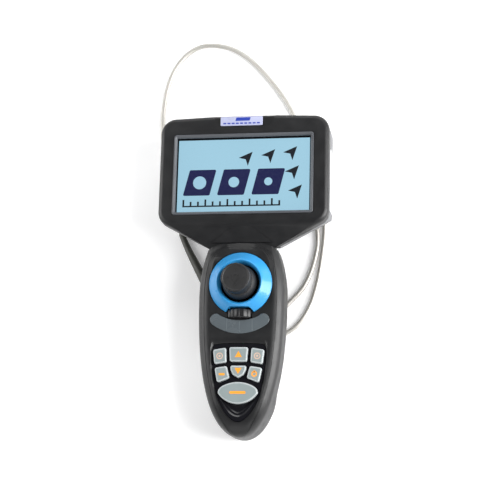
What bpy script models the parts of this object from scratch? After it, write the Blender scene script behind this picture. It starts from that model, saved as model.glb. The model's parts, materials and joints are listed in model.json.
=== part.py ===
"""Handheld inspection camera (articulating videoscope), lying on its back.

Frame: +Z up out of the screen, +Y towards the head, +X to the right of the screen, origin on the
table under the middle of the body. Dimensions below are in millimetres, and every mesh is made
in metres.
"""
import math

import bmesh
import bpy
from mathutils import Matrix, Vector

MM = 0.001
GAP = 0.3                    # clearance left between neighbouring pieces
WALL = 2.5                   # moulded wall thickness

# ---- head ------------------------------------------------------------------------------------
HEAD_HALF_WIDTH = 71.2
HEAD_TOP = 135.0
HEAD_CORNER = 13.0
HEAD_FLAT = 27.0             # half width of the level middle of the top edge
HEAD_CROWN = 1.6             # how far the top edge falls from there to its corners
CHIN_SIDE_Y = 45.2           # where the straight side ends and the chin line begins
CHIN_HALF = 28.0             # half width of the chin where it meets the handle
CHIN_Y = 22.0
CHIN_TAPER = 0.25            # how far the rear cover's chin leans in, per unit of depth
FACE_Z = 48.0                # front face of the head
SEAM_HEAD = 38.0             # parting plane between the front shell and the rear cover
HEAD_BACK = 12.0
BULGE_HALF = 35.0            # battery bulge on the back, which rests on the table
BULGE_LOW = 68.0
BULGE_HIGH = 120.0
DOOR_HALF = 30.6

# ---- screen ----------------------------------------------------------------------------------
SCREEN_X = -0.3              # middle of a five inch 16:9 picture, 110.7 wide
LIP_HALF_W = 59.2
LIP_LOW = 49.2
LIP_HIGH = 119.0
LIP_BAND = 3.0

# ---- handle ----------------------------------------------------------------------------------
GRIP_HALF_WIDTH = 35.4
GRIP_WIDEST_Y = -16.0
TAIL_Y = -132.3
GRIP_TOP_Y = 15.5            # the sides end here, under the arched top edge
GRIP_ARC_R = 65.0
GRIP_ARC_TOP = 27.5          # highest point of the arched top edge
GRIP_Z = 46.0
SEAM_GRIP = 22.0
ARCH_Z = 14.0                # underside of the handle over the fingers
ARCH_END_Y = -88.0
HEEL_Y = -110.0

# ---- joystick --------------------------------------------------------------------------------
STICK_Y = -8.8
PIVOT_Z = 50.0
RING_R = 26.0
RING_HOLE_R = 15.9
RING_TOP_Z = 54.0
SKIRT_R = 14.2
CAP_R = 11.7
CAP_TOP_Z = 71.5

# ---- brake wheel -----------------------------------------------------------------------------
WHEEL_R = 12.5
WHEEL_Z = 38.0
WHEEL_LOW = -37.2
WHEEL_HIGH = -29.9

# ---- keypad ----------------------------------------------------------------------------------
KEY_TOP_Z = 47.2
KEY_FOOT_Z = 40.6
PLATE_TOP_Z = 44.6

# ---- insertion tube --------------------------------------------------------------------------
TUBE_D = 3.9
TUBE_Z = 2.05
OUTLET = (-20.0, -30.0, 7.2)         # where the strain relief starts
OUTLET_DIR = (-0.5, 0.866)
GLAND_R = 5.8
SEGMENT_X = 9.5
SEGMENT_Y = -62.6                    # first hinge of the bending section
SEGMENT_PITCH = 6.0
SEGMENT_GAP = 0.55
TIP_LENGTH = 13.0
SEGMENTS = 3

# Strain relief centre line: x, y, z, radius.
BOOT_LINE = (
    (-20.25, -29.57, 7.1, 4.8),
    (-26.4, -18.6, 6.7, 4.6),
    (-33.0, -7.0, 6.1, 4.3),
    (-39.5, 5.1, 5.4, 3.95),
    (-47.6, 19.6, 4.3, 3.4),
    (-54.4, 32.4, 3.4, 2.9),
    (-60.0, 44.6, 2.7, 2.5),
)

# Insertion tube, from the strain relief over the head, under the handle, round one loop that
# lies under the unit and on to the bending section. Points are x, y, z.
TUBE_ROUTE = (
    (-60.15, 44.93, 2.65),
    (-63.9, 54.0, 2.3),
    (-68.7, 68.0, 2.05),
    (-74.2, 92.0, 2.05),
    (-78.6, 120.0, 2.05),
    (-80.6, 148.0, 2.05),
    (-79.0, 169.0, 2.05),
    (-75.2, 186.0, 2.05),
    (-69.6, 198.0, 2.05),
    (-60.8, 208.8, 2.05),
    (-49.5, 215.4, 2.05),
    (-36.7, 216.6, 2.05),
    (-20.8, 212.7, 2.05),
    (-7.6, 204.7, 2.05),
    (3.1, 195.0, 2.05),
    (13.6, 182.8, 2.05),
    (24.2, 168.6, 2.05),
    (33.5, 152.6, 2.05),
    (46.0, 124.0, 2.05),
    (56.5, 92.0, 2.05),
    (62.0, 66.0, 2.05),
    (63.5, 48.3, 2.05),
    (62.6, 32.4, 2.05),
    (60.2, 13.5, 2.05),
    (57.2, -2.2, 2.05),
    (52.2, -18.6, 2.05),
    (43.4, -33.4, 2.05),
    (33.4, -41.4, 2.05),
    (22.0, -44.2, 2.05),
    (11.2, -39.6, 2.05),
    (4.9, -28.6, 2.05),
    (2.9, -12.0, 2.05),
    (2.6, 10.0, 2.05),
    (3.4, 32.0, 2.05),
    (9.4, 49.0, 2.05),
    (21.0, 60.2, 2.05),
    (34.5, 63.2, 2.05),
    (48.0, 59.6, 2.05),
    (56.0, 50.0, 2.05),
    (57.8, 36.0, 2.05),
    (55.8, 22.5, 2.05),
    (52.0, 9.0, 2.05),
    (45.6, -4.0, 2.05),
    (35.2, -15.6, 2.05),
    (25.8, -24.6, 2.6),
    (18.6, -33.4, 4.9),
    (13.6, -42.6, 6.45),
    (10.8, -51.0, 5.0),
    (9.7, -58.0, 2.75),
    (9.5, -62.0, 2.1),
)

MATERIALS = {
    "shell_black": ((0.030, 0.031, 0.034), 0.45, 0.0),
    "cover_grey": ((0.33, 0.34, 0.36), 0.5, 0.0),
    "gloss_black": ((0.006, 0.006, 0.008), 0.15, 0.0),
    "knob_black": ((0.018, 0.018, 0.019), 0.55, 0.0),
    "ring_blue": ((0.03, 0.33, 0.85), 0.2, 0.0),
    "key_grey": ((0.52, 0.60, 0.60), 0.35, 0.0),
    "lip_grey": ((0.16, 0.17, 0.19), 0.4, 0.0),
    "badge_white": ((0.80, 0.83, 0.88), 0.3, 0.0),
    "silver": ((0.72, 0.73, 0.74), 0.35, 0.6),
    "steel": ((0.55, 0.55, 0.56), 0.3, 1.0),
    "brass": ((0.72, 0.53, 0.22), 0.3, 1.0),
    "smoke_lens": ((0.13, 0.17, 0.19), 0.2, 0.0),
    "clear_guide": ((0.8, 0.85, 0.88), 0.1, 0.0),
    "glass": ((0.35, 0.55, 0.62), 0.05, 0.0),
    "board_green": ((0.02, 0.16, 0.07), 0.5, 0.0),
    "battery_blue": ((0.05, 0.10, 0.22), 0.5, 0.0),
    "rubber": ((0.03, 0.03, 0.028), 0.8, 0.0),
    "boot_olive": ((0.07, 0.07, 0.06), 0.65, 0.0),
    "braid": ((0.48, 0.46, 0.42), 0.4, 0.7),
}


# ---- helpers ---------------------------------------------------------------------------------
def clear_scene():
    for item in list(bpy.data.objects):
        bpy.data.objects.remove(item, do_unlink=True)


def material(name):
    found = bpy.data.materials.get(name)
    if found:
        return found
    colour, roughness, metallic = MATERIALS[name]
    made = bpy.data.materials.new(name)
    made.use_nodes = True
    shader = made.node_tree.nodes["Principled BSDF"]
    shader.inputs["Base Color"].default_value = (*colour, 1.0)
    shader.inputs["Roughness"].default_value = roughness
    shader.inputs["Metallic"].default_value = metallic
    return made


def finish(name, mesh_bm, origin=(0.0, 0.0, 0.0), look="shell_black"):
    """Turn a bmesh in millimetres into an object whose origin is the given point."""
    bmesh.ops.recalc_face_normals(mesh_bm, faces=mesh_bm.faces)
    place = Vector(origin)
    for vert in mesh_bm.verts:
        vert.co = (vert.co - place) * MM
    mesh = bpy.data.meshes.new(name)
    mesh_bm.to_mesh(mesh)
    mesh_bm.free()
    mesh.shade_smooth()
    mesh.set_sharp_from_angle(angle=math.radians(35))
    item = bpy.data.objects.new(name, mesh)
    item.location = place * MM
    bpy.context.scene.collection.objects.link(item)
    mesh.materials.append(material(look))
    return item


def boolean(target, tool, operation="DIFFERENCE"):
    """Apply one exact boolean to the target and remove the tool."""
    tool.hide_render = True
    tool.display_type = "WIRE"
    step = target.modifiers.new("cut", "BOOLEAN")
    step.operation = operation
    step.solver = "EXACT"
    step.object = tool
    graph = bpy.context.evaluated_depsgraph_get()
    result = bpy.data.meshes.new_from_object(target.evaluated_get(graph))
    target.modifiers.clear()
    old = target.data
    target.data = result
    result.name = target.name
    bpy.data.meshes.remove(old)
    bpy.data.objects.remove(tool, do_unlink=True)
    return target


def cut(target, *tools):
    for tool in tools:
        boolean(target, tool, "DIFFERENCE")
    return target


def join(target, *tools):
    for tool in tools:
        boolean(target, tool, "UNION")
    return target


def bevel_edges(mesh_bm, edges, width, segments):
    bmesh.ops.bevel(mesh_bm, geom=edges, offset=width, offset_type="OFFSET", segments=segments,
                    profile=0.5, affect="EDGES", clamp_overlap=True)


def prism(name, outline, low, high, look="shell_black", top=None, bottom=None, origin=(0, 0, 0)):
    """Extrude a closed XY outline from low to high, with optional (width, segments) bevels."""
    mesh_bm = bmesh.new()
    lower = [mesh_bm.verts.new((x, y, low)) for x, y in outline]
    upper = [mesh_bm.verts.new((x, y, high)) for x, y in outline]
    mesh_bm.faces.new(lower)
    mesh_bm.faces.new(upper)
    count = len(outline)
    for i in range(count):
        j = (i + 1) % count
        mesh_bm.faces.new((lower[i], lower[j], upper[j], upper[i]))
    bmesh.ops.recalc_face_normals(mesh_bm, faces=mesh_bm.faces)
    for level, amount in ((high, top), (low, bottom)):
        if amount:
            edges = [e for e in mesh_bm.edges if all(abs(v.co.z - level) < 1e-6 for v in e.verts)]
            bevel_edges(mesh_bm, edges, *amount)
    return finish(name, mesh_bm, origin, look)


def box(name, low, high, look="shell_black", origin=(0, 0, 0), bevel=None):
    outline = [(low[0], low[1]), (high[0], low[1]), (high[0], high[1]), (low[0], high[1])]
    return prism(name, outline, low[2], high[2], look, top=bevel, bottom=bevel, origin=origin)


def turned(name, profile, centre, axis="Z", steps=32, look="steel", origin=None):
    """Revolve a profile of (radius, height) about an axis through the centre.

    The profile is an open line whose ends have radius 0, or a closed loop that stays off the axis.
    """
    mesh_bm = bmesh.new()
    rings = []
    for radius, height in profile:
        if radius < 1e-6:
            rings.append([mesh_bm.verts.new((0.0, 0.0, height))])
            continue
        rings.append([
            mesh_bm.verts.new((radius * math.cos(2 * math.pi * k / steps),
                               radius * math.sin(2 * math.pi * k / steps), height))
            for k in range(steps)
        ])
    closed = profile[0][0] > 1e-6
    pairs = list(zip(rings, rings[1:]))
    if closed:
        pairs.append((rings[-1], rings[0]))
    for first, second in pairs:
        for k in range(steps):
            n = (k + 1) % steps
            if len(first) == 1:
                mesh_bm.faces.new((first[0], second[k], second[n]))
            elif len(second) == 1:
                mesh_bm.faces.new((first[k], first[n], second[0]))
            else:
                mesh_bm.faces.new((first[k], first[n], second[n], second[k]))
    turn = {"Z": Matrix.Identity(4), "X": Matrix.Rotation(math.pi / 2, 4, "Y"),
            "Y": Matrix.Rotation(-math.pi / 2, 4, "X")}[axis]
    bmesh.ops.transform(mesh_bm, matrix=Matrix.Translation(Vector(centre)) @ turn,
                        verts=mesh_bm.verts)
    return finish(name, mesh_bm, centre if origin is None else origin, look)


def rod(name, centre, radius, low, high, axis="Z", steps=20, look="steel", origin=None):
    return turned(name, [(0, low), (radius, low), (radius, high), (0, high)], centre, axis, steps,
                  look, origin)


def loft(name, sections, look="shell_black"):
    """Skin equal-length closed sections (lists of 3-D points) and cap both ends."""
    mesh_bm = bmesh.new()
    rings = [[mesh_bm.verts.new(p) for p in section] for section in sections]
    count = len(rings[0])
    for first, second in zip(rings, rings[1:]):
        for k in range(count):
            n = (k + 1) % count
            mesh_bm.faces.new((first[k], first[n], second[n], second[k]))
    mesh_bm.faces.new(rings[0])
    mesh_bm.faces.new(rings[-1])
    return finish(name, mesh_bm, (0, 0, 0), look)


def arc(cx, cy, radius, start, end, steps):
    """Points on an arc, angles in degrees."""
    angles = [math.radians(start + (end - start) * k / steps) for k in range(steps + 1)]
    return [(cx + radius * math.cos(a), cy + radius * math.sin(a)) for a in angles]


def rounded(points, radii, steps=4):
    """A polygon with each corner rounded to its own radius."""
    result = []
    count = len(points)
    for i in range(count):
        corner = Vector(points[i])
        before = (Vector(points[i - 1]) - corner).normalized()
        after = (Vector(points[(i + 1) % count]) - corner).normalized()
        radius = radii[i] if isinstance(radii, (list, tuple)) else radii
        if radius <= 0:
            result.append(tuple(corner))
            continue
        half = before.angle(after) / 2
        reach = radius / math.tan(half)
        centre = corner + (before + after).normalized() * radius / math.sin(half)
        start = corner + before * reach - centre
        sweep = start.angle_signed(corner + after * reach - centre)
        for k in range(steps + 1):
            turn = Matrix.Rotation(-sweep * k / steps, 2)
            result.append(tuple(centre + turn @ start))
    return result


def rectangle(low_x, low_y, high_x, high_y, radius=0.0, steps=3):
    return rounded([(low_x, low_y), (high_x, low_y), (high_x, high_y), (low_x, high_y)], radius,
                   steps)


def mirrored(right_side):
    """Close an outline from its right half, listed from bottom to top."""
    return right_side + [(-x, y) for x, y in reversed(right_side) if abs(x) > 1e-6]


# ---- shapes shared by the casings --------------------------------------------------------------
def head_outline(inset=0.0, steps=4):
    side = HEAD_HALF_WIDTH - inset
    slope_inset = inset * 1.13
    points = [
        (-CHIN_HALF, CHIN_Y + slope_inset), (CHIN_HALF, CHIN_Y + slope_inset),
        (side, CHIN_SIDE_Y + inset * 0.6), (side, HEAD_TOP - HEAD_CROWN - inset),
        (HEAD_FLAT, HEAD_TOP - inset), (-HEAD_FLAT, HEAD_TOP - inset),
        (-side, HEAD_TOP - HEAD_CROWN - inset), (-side, CHIN_SIDE_Y + inset * 0.6),
    ]
    corner = HEAD_CORNER - inset
    return rounded(points, [0, 0, corner, corner, 0, 0, corner, corner], steps)


def grip_half_width(y):
    """Half width of the handle: a flattened ellipse below its widest point, a soft taper above."""
    if y >= GRIP_WIDEST_Y:
        rise = (y - GRIP_WIDEST_Y) / 36.0
        return GRIP_HALF_WIDTH * (1 - 0.17 * rise * rise)
    drop = min(1.0, (GRIP_WIDEST_Y - y) / (GRIP_WIDEST_Y - TAIL_Y))
    return GRIP_HALF_WIDTH * (1 - drop ** 2.4) ** (1 / 2.2)


def grip_top(y):
    """Height of the handle's front face, which rolls over at the tail."""
    start = -104.0
    if y > start:
        return GRIP_Z
    drop = (start - y) / (start - TAIL_Y)
    return GRIP_Z - 15.0 * (1 - math.sqrt(max(0.0, 1 - drop ** 2.2)))


def grip_back(y):
    """Height of the handle's underside: a finger arch that comes down to the heel."""
    if y > ARCH_END_Y:
        return ARCH_Z
    if y > HEEL_Y:
        part = (ARCH_END_Y - y) / (ARCH_END_Y - HEEL_Y)
        return ARCH_Z * 0.5 * (1 + math.cos(math.pi * part))
    rise = max(0.0, (-124.0 - y) / (-124.0 - TAIL_Y))
    return 8.0 * (1 - math.sqrt(max(0.0, 1 - rise * rise)))


FRONT_STATIONS = (29.5, 22.0, GRIP_TOP_Y, 4.0, -8.0, -20.0, -34.0, -50.0, -66.0, -80.0, -92.0, -102.0, -110.0,
                  -116.5, -122.0, -126.5, -129.6, -131.4, -132.1)
REAR_STATIONS = (20.0, 8.0, -8.0, -24.0, -42.0, -60.0, -76.0, -88.0, -93.0, -98.0, -102.5, -106.5,
                 -110.0, -114.0, -118.5, -123.0, -127.0, -129.8, -131.4, -132.1)


def shoulder(centre_x, centre_z, radius_x, radius_z, start, end, steps):
    angles = [math.radians(start + (end - start) * k / steps) for k in range(steps + 1)]
    return [(centre_x + radius_x * math.cos(a), centre_z + radius_z * math.sin(a)) for a in angles]


def front_section(y, inset=0.0, foot=SEAM_GRIP, steps=4):
    half = max(0.8, grip_half_width(y) - inset)
    top = grip_top(y) - inset
    radius_x = min(10.0, half * 0.6)
    radius_z = min(9.0, (top - foot) * 0.8)
    right = [(half, foot)]
    right += shoulder(half - radius_x, top - radius_z, radius_x, radius_z, 0, 90, steps)
    left = [(-x, z) for x, z in reversed(right)]
    return [(x, y, z) for x, z in right + left]


def rear_section(y, inset=0.0, head=SEAM_GRIP - GAP, steps=4):
    half = max(0.8, grip_half_width(y) - inset)
    low = grip_back(y) + inset
    radius_x = min(11.0, half * 0.6)
    radius_z = min(9.0, max(1.0, (SEAM_GRIP - low) * 0.8))
    right = [(half, head)]
    right += shoulder(half - radius_x, low + radius_z, radius_x, radius_z, 0, -90, steps)
    left = [(-x, z) for x, z in reversed(right)]
    return [(x, y, z) for x, z in right + left]


def grip_bound(low, high, inset=0.0, top=None, steps=12):
    """Everything below the handle's arched top edge, with its two corners rounded."""
    half = grip_half_width(GRIP_TOP_Y) + 0.1 - inset
    arc_y = GRIP_ARC_TOP - GRIP_ARC_R
    radius = GRIP_ARC_R - inset
    reach = math.degrees(math.asin((half - 5.0) / radius))
    corner_y = arc_y + math.sqrt(radius * radius - half * half)
    top_edge = arc(0.0, arc_y, radius, 90 - reach, 90 + reach, steps)
    points = [(60.0, TAIL_Y - 10.0), (60.0, GRIP_TOP_Y - 2.0), (half, GRIP_TOP_Y - 2.0),
              (half, corner_y)] + top_edge
    points += [(-half, corner_y), (-half, GRIP_TOP_Y - 2.0), (-60.0, GRIP_TOP_Y - 2.0),
               (-60.0, TAIL_Y - 10.0)]
    radii = [0, 0, 0, 5.5] + [0] * len(top_edge) + [5.5, 0, 0, 0]
    return prism("bound", rounded(points, radii, 4), low, high, top=top)


# ---- casings ---------------------------------------------------------------------------------
SCREW_HEAD = ((62.0, 124.0), (-62.0, 124.0), (62.0, 56.0), (-62.0, 56.0))
SCREW_GRIP = ((23.0, 6.0), (-23.0, 6.0), (25.5, -72.0), (-25.5, -72.0))


def make_front_shell():
    shell = prism("front_shell", head_outline(), SEAM_HEAD, FACE_Z, top=(4.0, 3))
    slope = [(HEAD_HALF_WIDTH + 5, 43.0, FACE_Z), (HEAD_HALF_WIDTH + 5, 15.0, 40.5)]
    wedge_bm = bmesh.new()
    corners = [(slope[0][1], slope[0][2]), (slope[1][1], slope[1][2]), (slope[1][1], FACE_Z + 9),
               (slope[0][1], FACE_Z + 9)]
    for side in (-1, 1):
        for y, z in corners:
            wedge_bm.verts.new((side * slope[0][0], y, z))
    wedge_bm.verts.ensure_lookup_table()
    v = wedge_bm.verts
    for quad in ((0, 1, 2, 3), (4, 5, 6, 7), (0, 1, 5, 4), (1, 2, 6, 5), (2, 3, 7, 6), (3, 0, 4, 7)):
        wedge_bm.faces.new([v[i] for i in quad])
    cut(shell, finish("wedge", wedge_bm))
    grip = loft("grip", [front_section(y) for y in FRONT_STATIONS])
    boolean(grip, grip_bound(10.0, GRIP_Z + 0.02, top=(2.2, 3)), "INTERSECT")
    join(shell, grip)
    # Hollow the head and the handle from behind.
    cavity = prism("cavity", head_outline(WALL + 0.2), SEAM_HEAD - 5, FACE_Z - 6.8)
    cut(shell, cavity)
    screen_room = prism("room", rectangle(-59.6, 48.6, 59.0, 119.4, 2.0), SEAM_HEAD - 5, 46.0)
    cut(shell, screen_room)
    grip_room = loft("grip_room", [front_section(y, WALL, 10.0) for y in FRONT_STATIONS[2:-3]])
    cut(shell, grip_room, prism("throat", rectangle(-26.5, 12.0, 26.5, 40.0), 10.0, 40.4 - WALL))
    # Openings in the face.
    cut(shell, prism("window", rectangle(SCREEN_X - LIP_HALF_W, LIP_LOW, SCREEN_X + LIP_HALF_W,
                                         LIP_HIGH, 2.6), 40.0, 60.0))
    cut(shell, prism("badge_recess", [(-20.6, 125.4), (20.6, 125.4), (25.4, 131.5), (25.4, 140.0),
                                      (-25.4, 140.0), (-25.4, 131.5)], FACE_Z - 0.5, 60.0))
    cut(shell, rod("ring_seat", (0, STICK_Y, 0), RING_R + 0.4, 44.4, 60.0, steps=48))
    cut(shell, rod("ring_bore", (0, STICK_Y, 0), 22.2, 40.0, 60.0, steps=40))
    cut(shell, wheel_room(WHEEL_HIGH + 2.0))
    cut(shell, prism("lens_seat", lens_outline(0.3), 45.0, 60.0))
    cut(shell, prism("guide_bore", guide_outline(0.5), 40.0, 60.0))
    cut(shell, prism("keypad_seat", keypad_outline(0.0), 40.0, 60.0))
    # Screw bosses.
    for x, y in SCREW_HEAD:
        join(shell, rod("boss", (x, y, 0), 3.4, 20.6, 42.5, steps=14))
        cut(shell, rod("pilot", (x, y, 0), 1.7, 15.0, 32.0, steps=10))
    for x, y in SCREW_GRIP:
        join(shell, rod("boss", (x, y, 0), 3.2, 20.6, 43.2, steps=14))
        cut(shell, rod("pilot", (x, y, 0), 1.7, 15.0, 30.0, steps=10))
    return shell


def chin_undercut(inset=0.0):
    """Cutter below the chin that leans inwards towards the back, so the rear cover tapers."""
    rise = (CHIN_SIDE_Y - CHIN_Y) / (HEAD_HALF_WIDTH - CHIN_HALF)
    edge_y = CHIN_Y + rise * (90.0 - CHIN_HALF)
    sections = []
    for z in (SEAM_HEAD, -2.0):
        lift = (SEAM_HEAD - z) * CHIN_TAPER + inset
        sections.append([(-90.0, edge_y + lift, z), (-CHIN_HALF, CHIN_Y + lift, z),
                         (CHIN_HALF, CHIN_Y + lift, z), (90.0, edge_y + lift, z),
                         (90.0, -40.0, z), (-90.0, -40.0, z)])
    return loft("undercut", sections)


def make_head_rear_cover():
    high = SEAM_HEAD - 1.0
    cover = prism("head_rear_cover", head_outline(), HEAD_BACK, high, "cover_grey", bottom=(4, 3))
    bulge = prism("bulge", rectangle(-BULGE_HALF, BULGE_LOW, BULGE_HALF, BULGE_HIGH, 4.0), 0.0,
                  HEAD_BACK + 2, bottom=(1.0, 1))
    join(cover, bulge)
    room = prism("room", head_outline(WALL), HEAD_BACK + WALL, 60.0)
    cut(room, chin_undercut(WALL * 1.15))
    cut(cover, chin_undercut(), room)
    cut(cover, box("battery_room", (-31.5, 74.5, 2.7), (31.5, 117.2, 30.0)))
    cut(cover, box("door_way", (-31.0, 74.0, -1.0), (31.0, BULGE_HIGH + 2, 2.8)))
    # Room for the handle, which passes in front of the cover and ends against its lower edge.
    cut(cover, box("neck_low", (-80, 10, -1), (80, 20.4, 60)))
    cut(cover, prism("neck_high", [(31.6, 5), (31.6, 20.0), (28.6, 28.4), (-28.6, 28.4),
                                   (-31.6, 20.0), (-31.6, 5)], SEAM_GRIP - 0.6, 60))
    # Port pocket in the right side.
    cut(cover, box("port_recess", (70.0, 53.6, 17.0), (80.0, 107.4, 36.0)))
    cut(cover, box("port_way", (60.0, 62.0, 20.0), (80.0, 100.0, 33.5)))
    cut(cover, rod("hinge_groove", (70.9, 80.5, 17.6), 1.7, -27.4, 27.4, "Y", 14))
    for x, y in SCREW_HEAD:
        join(cover, rod("boss", (x, y, 0), 4.0, HEAD_BACK + 0.8, 20.2, steps=14))
        cut(cover, rod("counterbore", (x, y, 0), 3.1, 5.0, 14.6, steps=14),
            rod("clearance", (x, y, 0), 1.7, 5.0, 25.0, steps=10))
    return cover


def make_handle_rear_shell():
    shell = loft("handle_rear_shell", [rear_section(y) for y in REAR_STATIONS])
    sx, sy, _ = OUTLET
    dx, dy = OUTLET_DIR
    pod = []
    for along, side in ((-24.0, -5.0), (-21.5, -7.5), (-8.0, -7.5), (-8.0, 7.5), (-21.5, 7.5),
                        (-24.0, 5.0)):
        pod.append((sx + dx * along + dy * side, sy + dy * along - dx * side))
    join(shell, prism("pod", pod, 1.2, ARCH_Z + 1.5, bottom=(1.2, 2)))
    cut(shell, loft("room", [rear_section(y, WALL, 40.0) for y in REAR_STATIONS[1:-3]]))
    cut(shell, box("upper_room", (-26.5, 7.0, ARCH_Z + WALL), (26.5, 30.0, 40.0)))
    for x, y in SCREW_GRIP:
        join(shell, rod("boss", (x, y, 0), 4.0, ARCH_Z + 1.2, 20.2, steps=14))
        cut(shell, rod("counterbore", (x, y, 0), 3.1, 5.0, 16.2, steps=14),
            rod("clearance", (x, y, 0), 1.7, 5.0, 25.0, steps=10))
    # The tube's passage, along the pod and then up into the handle.
    cut(shell, outlet_block("passage", -17.0, -7.0, 2.4, OUTLET[2] - 2.4, OUTLET[2] + 2.4),
        outlet_block("well", -16.6, -12.4, 2.1, OUTLET[2], 30.0))
    return shell


def outlet_block(name, start, end, half, low, high):
    """A block along the outlet direction, measured from the start of the strain relief."""
    sx, sy, _ = OUTLET
    dx, dy = OUTLET_DIR
    outline = []
    for along, side in ((start, -half), (end, -half), (end, half), (start, half)):
        outline.append((sx + dx * along + dy * side, sy + dy * along - dx * side))
    return prism(name, outline, low, high)


def make_shell_seal():
    outline = [p for p in head_outline(0.9, 3) if p[1] > 30.0]
    inner = [p for p in head_outline(2.2, 3) if p[1] > 30.0]
    seal = prism("shell_seal", outline, SEAM_HEAD - 0.8, SEAM_HEAD - 0.2, "rubber")
    return cut(seal, prism("inner", inner, 30.0, 45.0),
               box("open_end", (-60.0, 20.0, 30.0), (60.0, 38.5, 45.0)))


# ---- screen ----------------------------------------------------------------------------------
def make_screen():
    outer = rectangle(SCREEN_X - LIP_HALF_W + GAP, LIP_LOW + GAP, SCREEN_X + LIP_HALF_W - GAP,
                      LIP_HIGH - GAP, 2.3)
    frame = prism("screen_frame", outer, 46.3, FACE_Z + 0.5, "lip_grey", top=(0.4, 1))
    cut(frame, frustum_hole(SCREEN_X, (LIP_LOW + LIP_HIGH) / 2, 46.0, LIP_HALF_W - LIP_BAND,
                            (LIP_HIGH - LIP_LOW) / 2 - LIP_BAND, FACE_Z + 1.0, 1.6))
    box("screen_window", (SCREEN_X - 58.0, LIP_LOW + 1.0, 44.6), (SCREEN_X + 58.0, LIP_HIGH - 1.0,
                                                                46.0), "glass")
    box("lcd_panel", (SCREEN_X - 57.6, 50.4, 41.0), (SCREEN_X + 57.6, 117.6, 44.3), "gloss_black")
    box("display_board", (-50.0, 55.0, 34.6), (50.0, 112.0, 36.2), "board_green")


def frustum_hole(cx, cy, low, half_x, half_y, high, flare):
    mesh_bm = bmesh.new()
    rings = []
    for level, grow in ((low, 0.0), (high, flare)):
        rings.append([mesh_bm.verts.new((cx + sx * (half_x + grow), cy + sy * (half_y + grow), level))
                      for sx, sy in ((-1, -1), (1, -1), (1, 1), (-1, 1))])
    mesh_bm.faces.new(rings[0])
    mesh_bm.faces.new(rings[1])
    for i in range(4):
        j = (i + 1) % 4
        mesh_bm.faces.new((rings[0][i], rings[0][j], rings[1][j], rings[1][i]))
    return finish("hole", mesh_bm)


def make_badge():
    prism("badge_plate", rectangle(-20.0, 125.6, 15.6, 133.4, 0.9), FACE_Z - 0.2, FACE_Z + 0.7,
          "badge_white", top=(0.2, 1))


# ---- joystick --------------------------------------------------------------------------------
def make_joystick():
    ring = turned("joystick_ring", [(RING_R, 44.7), (RING_R, 45.9), (24.9, 47.2), (22.8, 49.6),
                                    (20.7, 52.0), (19.3, 53.4), (18.4, RING_TOP_Z), (17.7, 53.7),
                                    (16.9, 52.4), (16.3, 50.6), (RING_HOLE_R, 48.6),
                                    (RING_HOLE_R, 44.7)],
                  (0, STICK_Y, 0), steps=48, look="ring_blue")
    cut(ring, prism("notch", [(-14.6, -37.0), (14.6, -37.0), (11.0, -31.2), (8.2, -28.7),
                              (-8.2, -28.7), (-11.0, -31.2)], 40.0, 60.0),
        wheel_room(WHEEL_HIGH + 0.6))
    centre = (0, STICK_Y, PIVOT_Z)
    housing = turned("joystick_housing", [(0, 28), (19.6, 28), (19.6, 43), (18.2, 43), (18.2, 29.6),
                                          (0, 29.6)], (0, STICK_Y, 0), steps=36, look="gloss_black")
    for side in (-1, 1):
        post = box("post", (min(side * 10.35, side * 11.45), STICK_Y - 2.2, 29.0),
                   (max(side * 10.35, side * 11.45), STICK_Y + 2.2, PIVOT_Z + 2.2))
        join(housing, post)
    cut(housing, rod("pin_hole", centre, 1.55, -14, 14, "X", 12))
    gimbal = turned("gimbal_ring", [(9.6, -2.0), (9.6, 2.0), (7.4, 2.0), (7.4, -2.0)], centre,
                    steps=24, look="brass")
    for side in (-1, 1):
        join(gimbal, rod("pin", centre, 1.2, min(side * 8.4, side * 11.4),
                         max(side * 8.4, side * 11.4), "X", 10))
    cut(gimbal, rod("pin_hole", centre, 1.5, -14, 14, "Y", 12))
    shaft = turned("joystick_shaft", [(0, 40.6), (2.2, 40.6), (2.2, 46.6), (3.8, 47.6), (3.8, 52.6),
                                      (2.4, 53.6), (2.4, 60.0), (0, 60.0)], (0, STICK_Y, 0),
                   steps=16, look="steel", origin=centre)
    join(shaft, rod("pin", centre, 1.2, -9.2, 9.2, "Y", 10))
    turned("wobble_plate", [(0, 37.6), (5.4, 37.6), (5.4, 40.3), (0, 40.3)], (0, STICK_Y, 0),
           steps=16, look="steel", origin=centre)
    inner_r = SKIRT_R - 1.1
    outer = [(SKIRT_R * math.cos(math.radians(a)), PIVOT_Z + SKIRT_R * math.sin(math.radians(a)))
             for a in range(0, 31, 10)]
    inner = [(inner_r * math.cos(math.radians(a)), PIVOT_Z + inner_r * math.sin(math.radians(a)))
             for a in range(30, -1, -10)]
    neck = [(11.2, 57.9), (2.8, 57.9), (2.8, 56.7)]
    turned("joystick_skirt", outer + neck + inner, (0, STICK_Y, 0), steps=24, look="knob_black",
           origin=centre)
    turned("joystick_cap", [(0, 60.3), (2.75, 60.3), (2.75, 58.2), (10.9, 58.2), (11.5, 58.9),
                            (11.5, 66.0), (CAP_R, 70.6), (CAP_R, 71.1), (CAP_R - 0.5, CAP_TOP_Z),
                            (CAP_R - 1.2, CAP_TOP_Z), (CAP_R - 1.8, 71.0), (0, 70.9)],
           (0, STICK_Y, 0), steps=28, look="knob_black", origin=centre)


# ---- brake wheel -----------------------------------------------------------------------------
def wheel_room(high):
    """Swept space of the wheel with its clearance, up to the given Y."""
    return rod("wheel_room", (0, 0, WHEEL_Z), WHEEL_R + 0.5, WHEEL_LOW - 0.5, high, "Y", 40)


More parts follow.
